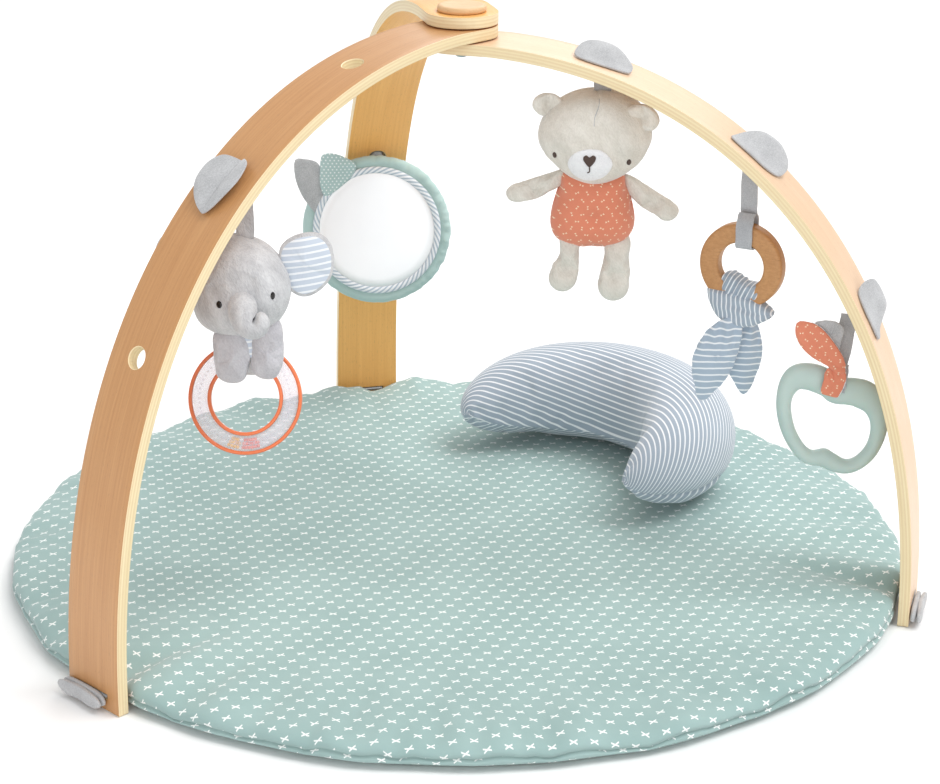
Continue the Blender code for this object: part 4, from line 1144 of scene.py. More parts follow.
def sewn_pad(outline, depth, front=0.0, power=2.2, segments=48, rings=18, face_share=0.0):
    """Two panels sewn round an outline (x, z) and filled to a half depth. Millimetres in.

    Faces within face_share of the middle, on the viewer's side, get the second coat.
    """
    middle = sum((Vector(point) for point in outline), Vector((0.0, 0.0))) / len(outline)
    reach = outline_reach(outline, middle)
    bm = bmesh.new()
    pin = bm.verts.layers.float.new("pin")
    cut = bm.loops.layers.uv.new("cut")
    bmesh.ops.create_uvsphere(bm, u_segments=segments, v_segments=rings, radius=1.0)
    spread = {}
    for vert in bm.verts:
        side = math.hypot(vert.co.x, vert.co.y)
        tall = vert.co.z
        angle = math.atan2(vert.co.y, vert.co.x)
        full = (side**power + abs(tall) ** power) ** (1.0 / power)
        far = reach(angle) * side / full
        vert[pin] = 1.0 if abs(tall) < 1e-4 else 0.0
        spread[vert] = (side / full, tall)
        vert.co = Vector(
            (middle.x + far * math.cos(angle), front - depth * tall / full, middle.y + far * math.sin(angle))
        ) * MM
    for face in bm.faces:
        faces_viewer = all(spread[vert][0] < face_share and spread[vert][1] > 0.0 for vert in face.verts)
        face.material_index = 1 if faces_viewer else 0
        for loop in face.loops:
            loop[cut].uv = (loop.vert.co.x, loop.vert.co.z)
    return bm


def sweep(stations, sides=16, side=SIDEWAYS, closed=False):
    """Tube through rings. Each station is its middle, its half width along side, and half depth."""
    bm = bmesh.new()
    count = len(stations)
    loops = []
    for index, (middle, wide, deep) in enumerate(stations):
        before = stations[index - 1][0] if closed or index else middle
        after = stations[(index + 1) % count][0] if closed or index < count - 1 else middle
        heading = (Vector(after) - Vector(before)).normalized()
        side = (side - heading * side.dot(heading)).normalized()
        turn = Matrix((side, heading.cross(side), heading)).transposed().to_4x4()
        place = Matrix.Translation(middle) @ turn @ Matrix.Diagonal((wide, deep, 1.0, 1.0))
        ring = bmesh.ops.create_circle(bm, segments=sides, radius=1.0, matrix=place)["verts"]
        loops.append(list(dict.fromkeys(edge for vert in ring for edge in vert.link_edges)))
    pairs = list(zip(loops, loops[1:]))
    if closed:
        pairs.append((loops[-1], loops[0]))
    for first, second in pairs:
        bmesh.ops.bridge_loops(bm, edges=first + second)
    if not closed:
        bmesh.ops.holes_fill(bm, edges=[edge for edge in bm.edges if edge.is_boundary], sides=0)
    return bm


def smooth_line(points, rounds=2):
    """Cut a line's corners so that it bends like webbing."""
    for _round in range(rounds):
        line = [points[0]]
        for first, second in zip(points, points[1:]):
            line += [first.lerp(second, 0.25), first.lerp(second, 0.75)]
        points = line + [points[-1]]
    return points


def ribbon(line, width, thickness, across=6):
    """Flat webbing along (y, z) points, its width along X, with a slightly worn selvedge."""
    line = smooth_line([Vector((0.0, y, z)) for y, z in line])
    steps = len(line) - 1
    bm = bmesh.new()
    bmesh.ops.create_grid(bm, x_segments=steps, y_segments=across, size=0.5)
    backs = {}
    for vert in bm.verts:
        index = round((vert.co.x + 0.5) * steps)
        heading = (line[min(index + 1, steps)] - line[max(index - 1, 0)]).normalized()
        outward = Vector((0.0, -heading.z, heading.y)) * thickness
        wave = 0.0003 * math.sin(index * 1.7)
        vert.co = line[index] + Vector(
            (vert.co.y * width + (wave if abs(vert.co.y) > 0.49 else 0.0), 0.0, 0.0)
        ) + outward / 2
        backs[tuple(vert.co)] = outward
    made = bmesh.ops.extrude_face_region(bm, geom=bm.faces[:])
    for vert in [item for item in made["geom"] if isinstance(item, bmesh.types.BMVert)]:
        vert.co -= backs[tuple(vert.co)]
    return bm


def stitch_row(bm, points, share=0.62, radius=0.00042):
    """Add one raised stitch between each point and the next."""
    for first, second in zip(points, points[1:]):
        first, second = Vector(first), Vector(second)
        length = (second - first).length
        turn = (second - first).to_track_quat("Z", "Y").to_matrix().to_4x4()
        place = Matrix.Translation((first + second) / 2) @ turn @ Matrix.Diagonal(
            (radius, radius, length * share / 2, 1.0)
        )
        bmesh.ops.create_uvsphere(bm, u_segments=6, v_segments=4, radius=1.0, matrix=place)


def declare_leaf(piece, outline):
    """Work out the area that a leaf's outline encloses; nothing keeps or returns it."""
    pairs = zip(outline, outline[1:] + outline[:1])
    area = abs(sum(a[0] * b[1] - a[1] * b[0] for a, b in pairs)) / 2 * MM * MM


def along(first, second, count):
    return [Vector(first).lerp(Vector(second), i / count) for i in range(count + 1)]


print("sewing tools ready")

# %% [markdown]
# ## Straps
# Grey webbing hangs each toy from its hole, save the elephant, whose tab is plush, and a short
# piece ties each foot to the mat. The hanging straps follow the lines that the frame gives them.
# Two of them turn once round a ring, and the ring toy's is closed with a stitched row.

# %% Straps
WEBBING_WIDTH = 0.016
WEBBING_THICKNESS = 0.0016
TEETHER_STRAP_LEAN = 7.0


def loop_line(top, bottom, half_depth):
    """Line that hangs from the hinge and turns once round a bar."""
    corner = 0.003
    return [
        (0.0, 0.004), (0.0, top + 0.007), (half_depth, top - corner), (half_depth, bottom + corner),
        (half_depth - corner, bottom), (corner - half_depth, bottom), (-half_depth, bottom + corner),
        (-half_depth, top - corner), (-0.0024, top + 0.0045),
    ]


STRAPS = {
    "elephant_strap": ("swing_elephant", "elephant", [(0.0, 0.004), (0.0, -0.0395)], 6.0, 0.0),
    "mirror_strap": ("swing_mirror", "mirror", [(0.0, 0.004), (0.0, -0.002), (-0.008, -0.020)], 0.0, 0.0),
    "bear_strap": ("swing_bear", "bear", [(0.0, 0.004), (0.0, -0.0115)], 2.0, 0.0),
    "ring_strap": ("swing_ring", "ring_toy", loop_line(-0.041, -0.070, 0.009), 0.0, -27.0),
    "teether_strap": ("swing_teether", "teether_toy", loop_line(-0.0495, -0.0725, 0.0084), -1.5, 0.0),
}
for name, (joint_name, body, line, shift, turn) in STRAPS.items():
    place = (
        toy_place(joint_name)
        @ Matrix.Rotation(math.radians(turn), 4, "Z")
        @ Matrix.Translation((shift * MM, 0.0, 0.0))
        @ Matrix.Rotation(math.radians(TEETHER_STRAP_LEAN if body == "teether_toy" else 0.0), 4, "Y")
    )
    strap_bm = ribbon(line, WEBBING_WIDTH, WEBBING_THICKNESS)
    coat = "elephant_plush" if body == "elephant" else "grey_webbing"
    strap = finish_piece(f"{name}_webbing", strap_bm, (coat,), body, (name,), place)
    strap.data.set_sharp_from_angle(angle=math.radians(40.0))

thread_bm = bmesh.new()
stitch_row(thread_bm, along((-0.0072, -0.0042, -0.0395), (0.0072, -0.0042, -0.0395), 6))
place = toy_place("swing_ring") @ Matrix.Rotation(math.radians(-27.0), 4, "Z")
finish_piece("ring_strap_stitches", thread_bm, ("grey_stitch",), "ring_toy", (), place)

for side, (azimuth, _level, body) in ARMS.items():
    low, high = -0.0014, PLY + 0.0002
    line = [(-(ARM_REACH - PLY + low), FOOT_SLOT_HEIGHT), (-(ARM_REACH - PLY + high), FOOT_SLOT_HEIGHT)]
    place = Matrix.Rotation(math.radians(azimuth + 90.0), 4, "Z")
    strap_bm = ribbon(line, 0.036, 0.002)
    finish_piece(
        f"foot_webbing_{side}", strap_bm, ("grey_webbing",), body, (f"foot_strap_{side}",),
        place
    )
print("straps:", len(STRAPS) + len(ARMS))

# %% [markdown]
# ## Felt toggles
# A felt leaf on each arm keeps a strap from pulling back through its hole. Its stem, folded
# small, goes down the hole. The leaf is thick cut felt, a little sprung, so one half stands off
# the wood. Each outline is laid on the arm by distance along it and across it.

# %% Leaf toggles
FELT_HALF = 1.3

# Each leaf: its arm, its hole's distance down the arm, its outline, and its spring. A spring is
# the height of the raised side, where the rise starts and ends across the arm, then the share
# that is lost, and where that starts and ends along the arm.
TOGGLES = {
    "elephant": (
        "left", 0.315,
        (
            (36, 3), (28, -13), (12, -24), (-7, -25), (-19, -16), (-22, -2), (-23, 10), (-16, 20), (3, 23),
            (22, 15),
        ),
        None,
    ),
    "bear": (
        "right", 0.142,
        (
            (-31, -5), (-27, 10), (-14, 20), (3, 19), (15, 12), (24, 3), (24, -9), (12, -14), (-8, -17),
            (-24, -15),
        ),
        (11.5, -14.0, 20.0, 0.5, -5.0, 30.0),
    ),
    "ring": (
        "right", 0.315,
        (
            (-38, -14), (-30, 4), (-16, 18), (0, 23), (13, 20), (21, 8), (19, -8), (6, -18), (-12, -19),
            (-28, -18),
        ),
        (14.0, -12.0, 22.0, 0.35, -3.0, 22.0),
    ),
    "teether": (
        "right", 0.488,
        (
            (-27, 2), (-23, 16), (-10, 22), (3, 19), (12, 8), (19, -3), (25, -9), (23, -16), (10, -18),
            (-8, -19), (-22, -13),
        ),
        (12.0, -14.0, 20.0, 0.6, 0.0, 24.0),
    ),
    "mirror": (
        "rear", 0.488, ((-29, 0), (-20, 15), (0, 21), (20, 15), (29, 0), (20, -15), (0, -21), (-20, -15)),
        None,
    ),
}


def leaf_rise(name, spring, u, v):
    """How far a leaf stands off the wood, in millimetres, at u along and v across the arm."""
    if spring:
        height, low, high, lost, start, end = spring
        return height * ease(v, low, high) * (1.0 - lost * ease(u, start, end))
    if name == "elephant":
        crease = math.exp(-abs(v - 1.0 + 0.10 * u) / 6.5)
        return 8.0 * (1.0 - crease) * (1.0 - 0.5 * ease(u, 5.0, 37.0))
    return 0.16 * abs(v)


def make_toggle(name, side, distance, outline, spring):
    azimuth, level, arm_body = ARMS[side]
    curve, _plate = arm_curves[side]
    leaf_bm = sewn_pad(outline, FELT_HALF, power=6.0, segments=64, rings=14)
    for vert in leaf_bm.verts:
        u, height, v = vert.co
        point, normal = arm_station(curve, distance + u)
        lift = 0.0017 - height + leaf_rise(name, spring, u / MM, v / MM) * MM
        vert.co = point + Vector((0.0, v, 0.0)) + normal * lift
    point, normal = arm_station(curve, distance)
    drop, deep = (0.0128, 0.0078) if name == "mirror" else (0.0212, 0.0016)
    stations = [(point + normal * (0.0026 - step * drop / 6), 0.0070, deep) for step in range(7)]
    toy_side = Vector(joints["swing_bear"]["axis"])
    toy_side.rotate(Matrix.Rotation(math.radians(-azimuth), 3, "Z"))
    stem_bm = sweep(stations, 20, side=toy_side)
    pour(stem_bm, leaf_bm)
    piece = finish_piece(
        f"felt_toggle_{name}", leaf_bm, ("grey_felt",), arm_body, (f"leaf_toggle_{name}",),
        Matrix.Rotation(math.radians(azimuth), 4, "Z"),
    )
    return piece


for name, (side, distance, outline, spring) in TOGGLES.items():
    declare_leaf(make_toggle(name, side, distance, outline, spring), outline)

for side, (azimuth, _level, body) in ARMS.items():
    outer = (ARM_REACH + 0.0004) / MM
    fold_bm = bmesh.new()
    for layer, (width, drop, low) in enumerate(((30.0, 0.0, 0.2), (31.0, 0.5, 6.2))):
        shape = [
            (-width, 10), (-22, 16.2 - drop), (0, 17.3 - drop), (22, 16.4 - drop), (width, 11), (24, 4.5),
            (0, 3.6), (-24, 4.3),
        ]
        layer_bm = sewn_pad(shape, 2.9, power=3.5, segments=56, rings=12)
        for vert in layer_bm.verts:
            across, depth, height = vert.co
            pinch = 0.0015 * bell(across, 0.012) * layer
            vert.co = (outer * MM + low * MM + 0.0029 - depth - pinch, -0.009 - across, height)
        pour(layer_bm, fold_bm)
    finish_piece(
        f"foot_felt_{side}", fold_bm, ("grey_felt",), body, (f"foot_toggle_{side}",),
        Matrix.Rotation(math.radians(azimuth), 4, "Z"),
    )
print("toggles:", len(TOGGLES), "on the arms,", len(ARMS), "at the feet")

# %% [markdown]
# ## Elephant
# The elephant is a stuffed head on a short strap, with a curled trunk, two flat ears and two
# paws that hold a rattle. Head, ears and paws are sewn pads that the stuffing run fills out.
# The trunk is a tube of shrinking rings along its curl. The ears are lined with striped jersey.

# %% Elephant
elephant_place = toy_place("swing_elephant")
HEAD_OUTLINE = (
    (-11, -37), (5, -38), (24, -46), (38, -62), (45, -82), (42, -101), (31, -117), (14, -126), (-6, -127),
    (-24, -124), (-37, -114), (-42, -96), (-40, -74), (-33, -54), (-23, -42),
)
head_bm = sewn_pad(HEAD_OUTLINE, 36.5, power=2.15, segments=72, rings=36)
for vert in head_bm.verts:
    if vert.co.y < 0.0:
        vert.co.y -= 0.0035 * bell(vert.co.z + 0.098, 0.020) * bell(vert.co.x - 0.006, 0.034)
elephant_head = finish_piece(
    "elephant_head_plush", head_bm, ("elephant_plush",), "elephant", ("elephant_head",),
    elephant_place,
)
stuff(elephant_head, 3.0, 0.0022, 0.02)

EAR_OUTLINE = (
    (36, -52), (43, -42), (55, -36.5), (69, -36.5), (79, -45), (83, -60), (80, -77), (70, -89), (57, -94),
    (45, -88), (37, -71),
)
for side, shape in {"right": EAR_OUTLINE, "left": tuple((8 - x, z) for x, z in EAR_OUTLINE)}.items():
    ear_bm = sewn_pad(shape, 5.6, 5.0, power=2.6, segments=56, rings=16, face_share=0.90)
    for vert in ear_bm.verts:
        away = abs(vert.co.x - 0.004) - 0.040
        vert.co.y += 0.10 * max(away, 0.0) - 0.0022 * bell(away - 0.012, 0.014)
    ear = finish_piece(
        f"elephant_ear_{side}_sewn", ear_bm, ("elephant_plush", "stripe_ear"), "elephant",
        (f"elephant_ear_{side}",), elephant_place,
    )
    stuff(ear, 3.5, 0.0022, 0.05)

PAWS = {
    "left": ((-23, -124), (-24, -149), (-21, -165), (-10, -171), (2, -168), (8, -153), (8, -131), (-7, -119)),
    "right": (
        (12, -124), (9.5, -147), (11, -161), (20, -167), (31, -165.5), (37.5, -153), (38.5, -133), (36, -114),
        (24, -109),
    ),
}
for side, shape in PAWS.items():
    paw_bm = sewn_pad(shape, 11.0, -10.0, power=2.3, segments=48, rings=20)
    paw = finish_piece(
        f"elephant_paw_{side}_sewn", paw_bm, ("paw_plush",), "elephant",
        (f"elephant_paw_{side}",),
        elephant_place,
    )
    stuff(paw, 3.5, 0.002, 0.04)

TRUNK = (
    ((5, -25, -88), 12), ((5, -35, -90.1), 13.2), ((5.8, -42.5, -94), 13), ((7.5, -47.5, -99.2), 12.4),
    ((10.7, -50, -104.1), 11.8), ((15.7, -51, -106.5), 11), ((20.6, -51.5, -104.8), 9.9),
    ((23, -52, -100.6), 8.7),
    ((22.2, -52.6, -96.4), 7.3), ((20.3, -53.1, -94.3), 5.6), ((19.1, -53.4, -93.7), 3.4),
    ((18.8, -53.5, -93.6), 1.2),
)
trunk_bm = sweep([(Vector(middle) * MM, radius * MM, radius * MM) for middle, radius in TRUNK], 28)
trunk = finish_piece(
    "elephant_trunk_plush", trunk_bm, ("elephant_plush",), "elephant", ("elephant_trunk",),
    elephant_place,
)
round_off(trunk)

LOOP_LINING = ((3.5, -116), (3.5, -131), (4.5, -145), (8.5, -147), (12.5, -145), (13, -131), (12, -116))
lining_bm = sewn_pad(LOOP_LINING, 3.5, -12.5, power=2.4, segments=32, rings=14, face_share=0.96)
finish_piece(
    "rattle_loop_lining", lining_bm, ("elephant_plush", "stripe_ear"), "elephant", (),
    elephant_place
)

loop_stations = []
for step in range(28):
    angle = 2 * math.pi * step / 28
    loop_stations.append(
        ((0.006, 0.0195 + 0.0148 * math.cos(angle), -0.1467 + 0.0268 * math.sin(angle)), 0.0072, 0.0010)
    )
finish_piece(
    "rattle_loop_plush", sweep(loop_stations, 16, closed=True), ("elephant_plush",), "elephant",
    ("rattle_loop",), elephant_place,
)
print("elephant:", [round(value, 4) for value in elephant_place.translation])

# %% [markdown]
# ## Rattle
# The rattle is a clear lilac ring between two coral rims, with loose beads in it. Each ring is
# a closed section spun about the rattle's axis. The clear part is two shells a wall apart, so
# light goes through it and the beads lie in real space, gathered at the bottom.

# %% Rattle
RATTLE_OUTER = 0.0515
RATTLE_INNER = 0.0310
RATTLE_RIM = 0.0032


def rounded_section(low, high, half, corner, steps=4):
    """Rounded rectangle between two radii, as a closed line of (radius, height)."""
    line = []
    for turn, (radius, height) in enumerate(((high, half), (low, half), (low, -half), (high, -half))):
        centre = (
            radius + (corner if radius == low else -corner), height + (corner if height < 0 else -corner),
        )
        for step in range(steps + 1):
            angle = math.pi / 2 * (turn + step / steps)
            line.append((centre[0] + corner * math.cos(angle), centre[1] + corner * math.sin(angle)))
    return line


def turn_ring(section, steps, place=Matrix(), cut_scale=0.0):
    """Spin a closed section about Z. The cut map runs round the ring and round the section."""
    bm = spin_line(section, steps, closed=True)
    if cut_scale:
        cut = bm.loops.layers.uv.new("cut")
        middle = sum(radius for radius, _height in section) / len(section)
        rise = sum(height for _radius, height in section) / len(section)
        for face in bm.faces:
            base = face.calc_center_median()
            base_turn = math.atan2(base.y, base.x)
            base_side = math.atan2(base.z - rise, math.hypot(base.x, base.y) - middle)
            for loop in face.loops:
                co = loop.vert.co
                turn = base_turn + math.remainder(math.atan2(co.y, co.x) - base_turn, 2 * math.pi)
                side = math.atan2(co.z - rise, math.hypot(co.x, co.y) - middle)
                side = base_side + math.remainder(side - base_side, 2 * math.pi)
                loop[cut].uv = (turn * middle, side * cut_scale)
    bmesh.ops.transform(bm, matrix=place, verts=bm.verts)
    return bm


rattle_joint = joints["spin_rattle"]
rattle_axis = Vector(rattle_joint["axis"])
across = Vector((0.0, 0.0, 1.0)).cross(rattle_axis).normalized()
rattle_place = Matrix.Translation(rattle_joint["pos_m"]) @ Matrix(
    (across, rattle_axis.cross(across), rattle_axis)
).transposed().to_4x4()
RINGS = {
    "rattle_rim_outer": (RATTLE_OUTER - RATTLE_RIM, RATTLE_OUTER, 0.0046, 0.0014),
    "rattle_rim_inner": (RATTLE_INNER, RATTLE_INNER + RATTLE_RIM, 0.0046, 0.0014),
}
for name, (low, high, half, corner) in RINGS.items():
    finish_piece(
        f"{name}_moulded", turn_ring(rounded_section(low, high, half, corner), 96, rattle_place),
        ("coral_plastic",),
        "rattle", (name,),
    )
shell_low = RATTLE_INNER + RATTLE_RIM + 0.0001
shell_high = RATTLE_OUTER - RATTLE_RIM - 0.0001
shell_bm = turn_ring(rounded_section(shell_low, shell_high, 0.0055, 0.0034, 6), 96, rattle_place)
shell = finish_piece("rattle_shell", shell_bm, ("lilac_shell",), "rattle", ("rattle_tube",))
wall = shell.modifiers.new("wall", "SOLIDIFY")
wall.thickness = 0.0009
wall.offset = -1.0

BEADS = {"yellow_bead": (-20.0, -7.0, 11), "coral_bead": (-3.0, 17.0, 17)}
for label, (start, end, count) in BEADS.items():
    bead_bm = bmesh.new()
    for index in range(count):
        share = (index + 0.5) / count
        turn = math.radians(-90.0 + start + (end - start) * share)
        radius = 0.0448 - 0.0034 * (index % 3)
        height = 0.0015 * math.sin(index * 2.4)
        place = rattle_place @ Matrix.Translation((radius * math.cos(turn), radius * math.sin(turn), height))
        bmesh.ops.create_icosphere(bead_bm, subdivisions=2, radius=0.0017, matrix=place)
    finish_piece(f"{label}s", bead_bm, (label,), "rattle")

stud_bm = bmesh.new()
for index in range(60):
    turn = 2 * math.pi * index / 60
    place = rattle_place @ Matrix.Translation(
        (0.0412 * math.cos(turn), 0.0412 * math.sin(turn), 0.0054)
    ) @ Matrix.Diagonal((1, 1, 0.35, 1))
    bmesh.ops.create_icosphere(stud_bm, subdivisions=2, radius=0.0012, matrix=place)
finish_piece("rattle_studs", stud_bm, ("lilac_shell",), "rattle")
print("rattle axis", [round(value, 3) for value in rattle_axis])

# %% [markdown]
# ## Mirror
# The baby mirror is a soft disc: a sage cotton rim gathered round a pad, a twisted striped cord
# as binding, and a thin mirrored film instead of glass. Two little leaves, one felt and one
# cotton, are sewn in at the upper left. The gathers are radial, so they are made in the spun
# pad, deeper towards the outer seam.

# %% Mirror
mirror_place = (
    toy_place("swing_mirror")
    @ Matrix.Translation((-0.001, -0.026, -0.0705))
    @ Matrix.Rotation(math.radians(-8.0), 4, "X")
)
disc_place = mirror_place @ Matrix.Rotation(math.pi / 2, 4, "X")
PAD_LINE = (
    (0.0, 5.0), (40.0, 5.0), (64.0, 5.0), (70.0, 5.0), (72.5, 5.3), (75.0, 6.4), (78.0, 6.6), (80.5, 5.6),
    (82.6, 3.6),
    (83.8, 1.0), (84.0, -1.2), (83.4, -3.8), (81.5, -6.6), (77.0, -8.6), (70.0, -9.0), (40.0, -9.0),
    (0.0, -9.0),
)
pad_bm = spin_line([(radius * MM, height * MM) for radius, height in PAD_LINE], 216)
for vert in pad_bm.verts:
    radius = math.hypot(vert.co.x, vert.co.y)
    if radius > 1e-6:
        azimuth = math.atan2(vert.co.y, vert.co.x)
        ring_point = Vector((math.cos(azimuth) * 11.0, math.sin(azimuth) * 11.0, 3.3))
        gather = ease(radius, 0.0725, 0.081)
        strong = 0.35 + 0.65 * ease(math.cos(azimuth - math.radians(20.0)), -0.3, 0.7)
        ripple = noise.noise(ring_point) + 0.5 * noise.noise(ring_point * 2.1)
        vert.co.z += gather * strong * 0.0030 * ripple * (1.0 if vert.co.z > 0.0 else 0.4)
        inward = gather * strong * 0.0016 * (0.5 + noise.noise(ring_point * 1.4))
        vert.co.x *= (radius - inward) / radius
        vert.co.y *= (radius - inward) / radius
mirror_pad = finish_piece(
    "mirror_rim_sewn", pad_bm, ("sage_plain",), "mirror", ("mirror_pad",), disc_place
)
round_off(mirror_pad)

binding_section = [
    (
        0.0682 + 0.0037 * math.cos(2 * math.pi * i / 16), 0.0068 + 0.0027 * math.sin(2 * math.pi * i / 16),
    ) for i in range(16)
]
binding_bm = turn_ring(binding_section, 240, disc_place, cut_scale=0.0034)
finish_piece(
    "mirror_binding_cord", binding_bm, ("stripe_binding",), "mirror", ("mirror_binding",),
)
FILM_LINE = ((0.0, 7.3), (30.0, 7.25), (55.0, 7.1), (63.0, 6.9), (64.6, 6.5), (64.6, 5.5), (0.0, 5.5))
film_bm = spin_line([(radius * MM, height * MM) for radius, height in FILM_LINE], 160)
film = finish_piece(
    "mirror_film_disc", film_bm, ("mirror_film",), "mirror", ("mirror_glass",), disc_place
)
film.data.set_sharp_from_angle(angle=math.radians(35.0))

MIRROR_LEAVES = {
    "grey": (
        (
            (-91, 79), (-80, 80), (-66, 76), (-60, 62), (-58, 42), (-60, 28), (-67, 18), (-76, 28), (-85, 42),
            (-91, 60),
        ),
        "grey_felt", "grey_felt", 1.2, 0.0,
    ),
    "sage": (
        (
            (-61, 84), (-50, 87), (-36, 83), (-23, 74), (-27, 62), (-37, 52), (-47, 44), (-58, 38), (-63, 52),
            (-63, 69),
        ),
        "sage_dotted", "sage_cotton", 1.6, -2.6,
    ),
}
for label, (shape, coat, slot_name, half, front) in MIRROR_LEAVES.items():
    leaf_bm = sewn_pad(shape, half, front, power=4.0, segments=56, rings=12)
    for vert in leaf_bm.verts:
        radius = math.hypot(vert.co.x, vert.co.z)
        vert.co.y -= 0.0060 + 0.0036 * ease(radius, 0.070, 0.084)
        vert.co.y += 0.06 * max(radius - 0.090, 0.0) * math.cos(vert.co.x * 90.0)
    leaf = finish_piece(
        f"mirror_leaf_{label}_cut", leaf_bm, (coat,), "mirror", (f"mirror_leaf_{label}",),
        mirror_place
    )
    declare_leaf(leaf, shape)
print("mirror rim:", len(mirror_pad.data.polygons), "faces")

# %% [markdown]
# ## Bear
# The bear is cut flat and filled: a wide head, a coral body in printed cotton, thin arms and
# legs with round ends, and two cupped ears. Each part is its own sewn pad, because on the real
# toy each is stuffed before it is sewn on. A dart at the crown gives the head its dome, so a
# shallow groove is drawn there, with a thin dark grey line along it as painted shade.

# %% Bear
bear_place = toy_place("swing_bear")
BEAR_HEAD = (
    (-4, -7), (-20, -9), (-36, -16), (-48, -27), (-55.5, -41), (-56.5, -56), (-50, -69), (-36, -82),
    (-22, -92), (-9, -97),
    (6, -95), (24, -86), (39, -74), (47, -60), (49, -46), (45, -31), (36, -19), (24, -11), (10, -8),
)
head_bm = sewn_pad(BEAR_HEAD, 38.0, power=2.25, segments=88, rings=40)
for vert in head_bm.verts:
    x, y, z = vert.co
    slant = x + 0.003 - 0.14 * (z + 0.007)
    if y < 0.004 and z > -0.036:
        vert.co.y += 0.0013 * bell(slant, 0.0016) * ease(z, -0.036, -0.026)
        vert.co.z -= 0.0011 * bell(slant, 0.0020) * ease(z, -0.024, -0.010)
    if y < 0.0:
        cheek = ease(-z, 0.048, 0.062) * bell(z + 0.062, 0.016) * ease(abs(x + 0.009), 0.016, 0.030)
        vert.co.y += 0.0030 * cheek
bear_head = finish_piece(
    "bear_head_plush", head_bm, ("bear_plush",), "bear", ("bear_head",), bear_place
)
stuff(bear_head, 3.0, 0.0022, 0.02)

LIMB_LIFT = 3.2
BEAR_PARTS = {
    "bear_ear_left": (
        ((-61, -14), (-52, -9.5), (-42, -11), (-34, -18), (-36, -26), (-46, -30), (-56, -29.5), (-63, -22)),
        6.5, -6.0, 2.4, 0.5,
        "bear_plush", "bear_plush",
    ),
    "bear_ear_right": (
        ((20, -23), (29, -17), (41, -16.5), (51, -23), (54, -32), (48, -40), (36, -38), (24, -31)), 7.0,
        -21.0, 2.4, 0.5,
        "bear_plush", "bear_plush",
    ),
    "bear_torso": (
        ((-32, -84), (-37, -100), (-42.5, -121), (-43.5, -137), (-38, -149), (-25, -155.5), (-4, -158.5),
         (17, -155.5), (30, -147.5), (35.5, -134), (33, -116), (27, -97), (22, -84), (-5, -80)),
        25.5, 0.0, 2.1, 0.85,
        "coral_cotton", "coral_cotton",
    ),
    "bear_arm_left": (
        (
            (-31, -86), (-46, -90), (-69, -98), (-82, -103), (-87, -109.5), (-83, -117), (-73, -118),
            (-55, -113), (-38, -104), (-29, -95),
        ),
        9.0, 0.0, 2.2, 0.7, "bear_plush", "bear_plush",
    ),
    "bear_arm_right": (
        (
            (25, -90), (42, -98.5), (58, -109), (71, -117), (78, -125), (74, -134), (64, -136), (50, -127),
            (37, -117.5), (26, -104),
        ),
        9.5, 0.0, 2.2, 0.7, "bear_plush", "bear_plush",
    ),
    "bear_leg_left": (
        (
            (-36, -149), (-34.5, -167), (-42, -183), (-44.5, -196), (-38, -204.5), (-28, -206), (-19, -198),
            (-16.5, -181), (-16, -165), (-17, -149),
        ),
        12.0, -3.0, 2.2, 0.7, "bear_plush", "bear_plush",
    ),
    "bear_leg_right": (
        (
            (8, -151), (8, -168), (4, -190), (3, -203), (9, -212.5), (20, -215), (30.5, -208), (33, -191),
            (32, -171), (31, -151),
        ),
        13.5, -3.0, 2.2, 0.7, "bear_plush", "bear_plush",
    ),
}
for name, (shape, depth, front, power, fill, coat, slot_name) in BEAR_PARTS.items():
    limb = "arm" in name or "leg" in name
    shape = [(x, z + (LIMB_LIFT if limb else 0.0)) for x, z in shape]
    part_bm = sewn_pad(shape, depth, front, power=power, segments=60, rings=22)
    if "ear" in name:
        centre_x = sum(point[0] for point in shape) / len(shape) * MM
        centre_z = sum(point[1] for point in shape) / len(shape) * MM
        for vert in part_bm.verts:
            inner = bell(math.hypot(vert.co.x - centre_x, vert.co.z - centre_z + 0.002), 0.0075)
            if vert.co.y < 0.002:
                vert.co.y += 0.0058 * inner
    part = finish_piece(f"{name}_sewn", part_bm, (coat,), "bear", (name,), bear_place)
    stuff(part, 4.0 if "torso" in name else 3.0, 0.0024, 0.045)

seam_bm = bmesh.new()
for side in (-1, 1):
    reach = outline_reach(BEAR_PARTS["bear_torso"][0], Vector((-4.0, -122.0)))
    line = []
    for step in range(31):
        angle = math.remainder(math.radians(-90.0 + side * (16.0 + 124.0 * step / 30)), 2 * math.pi)
        far = reach(angle) * 0.999
        spot = Vector((-4.0 + far * math.cos(angle), 0.0, -122.0 + far * math.sin(angle)))
        line.append((spot * MM, 0.0006, 0.0006))
    tube_bm = sweep(line, 6, side=Vector((0.0, 1.0, 0.0)))
    pour(tube_bm, seam_bm)
finish_piece("bear_body_seam", seam_bm, ("coral_cotton",), "bear", (), bear_place)
print("bear parts:", 1 + len(BEAR_PARTS))

# %% [markdown]
# ## Wooden ring with a tied cloth
# The ring is turned beech with rounded edges, so it is a rounded section spun round. A strip of
# striped cotton wraps its lower bar, and two pointed leaves hang from the wrap. The wrap turns
# with the ring; the leaves hang straight down.

# %% Ring toy
ring_place = toy_place("swing_ring")
ring_turned = ring_place @ Matrix.Rotation(math.radians(-27.0), 4, "Z")
RING_CENTRE = Vector((-0.0027, 0.0014, -0.0875))
ring_disc = (
    ring_place
    @ Matrix.Translation(RING_CENTRE)
    @ Matrix.Rotation(math.radians(-27.0), 4, "Z")
    @ Matrix.Rotation(math.pi / 2, 4, "X")
)
wood_bm = turn_ring(rounded_section(0.0225, 0.041, 0.0075, 0.0032, 6), 128, ring_disc)
finish_piece("wood_ring_turned", wood_bm, ("beech_solid",), "ring_toy", ("wood_ring",))

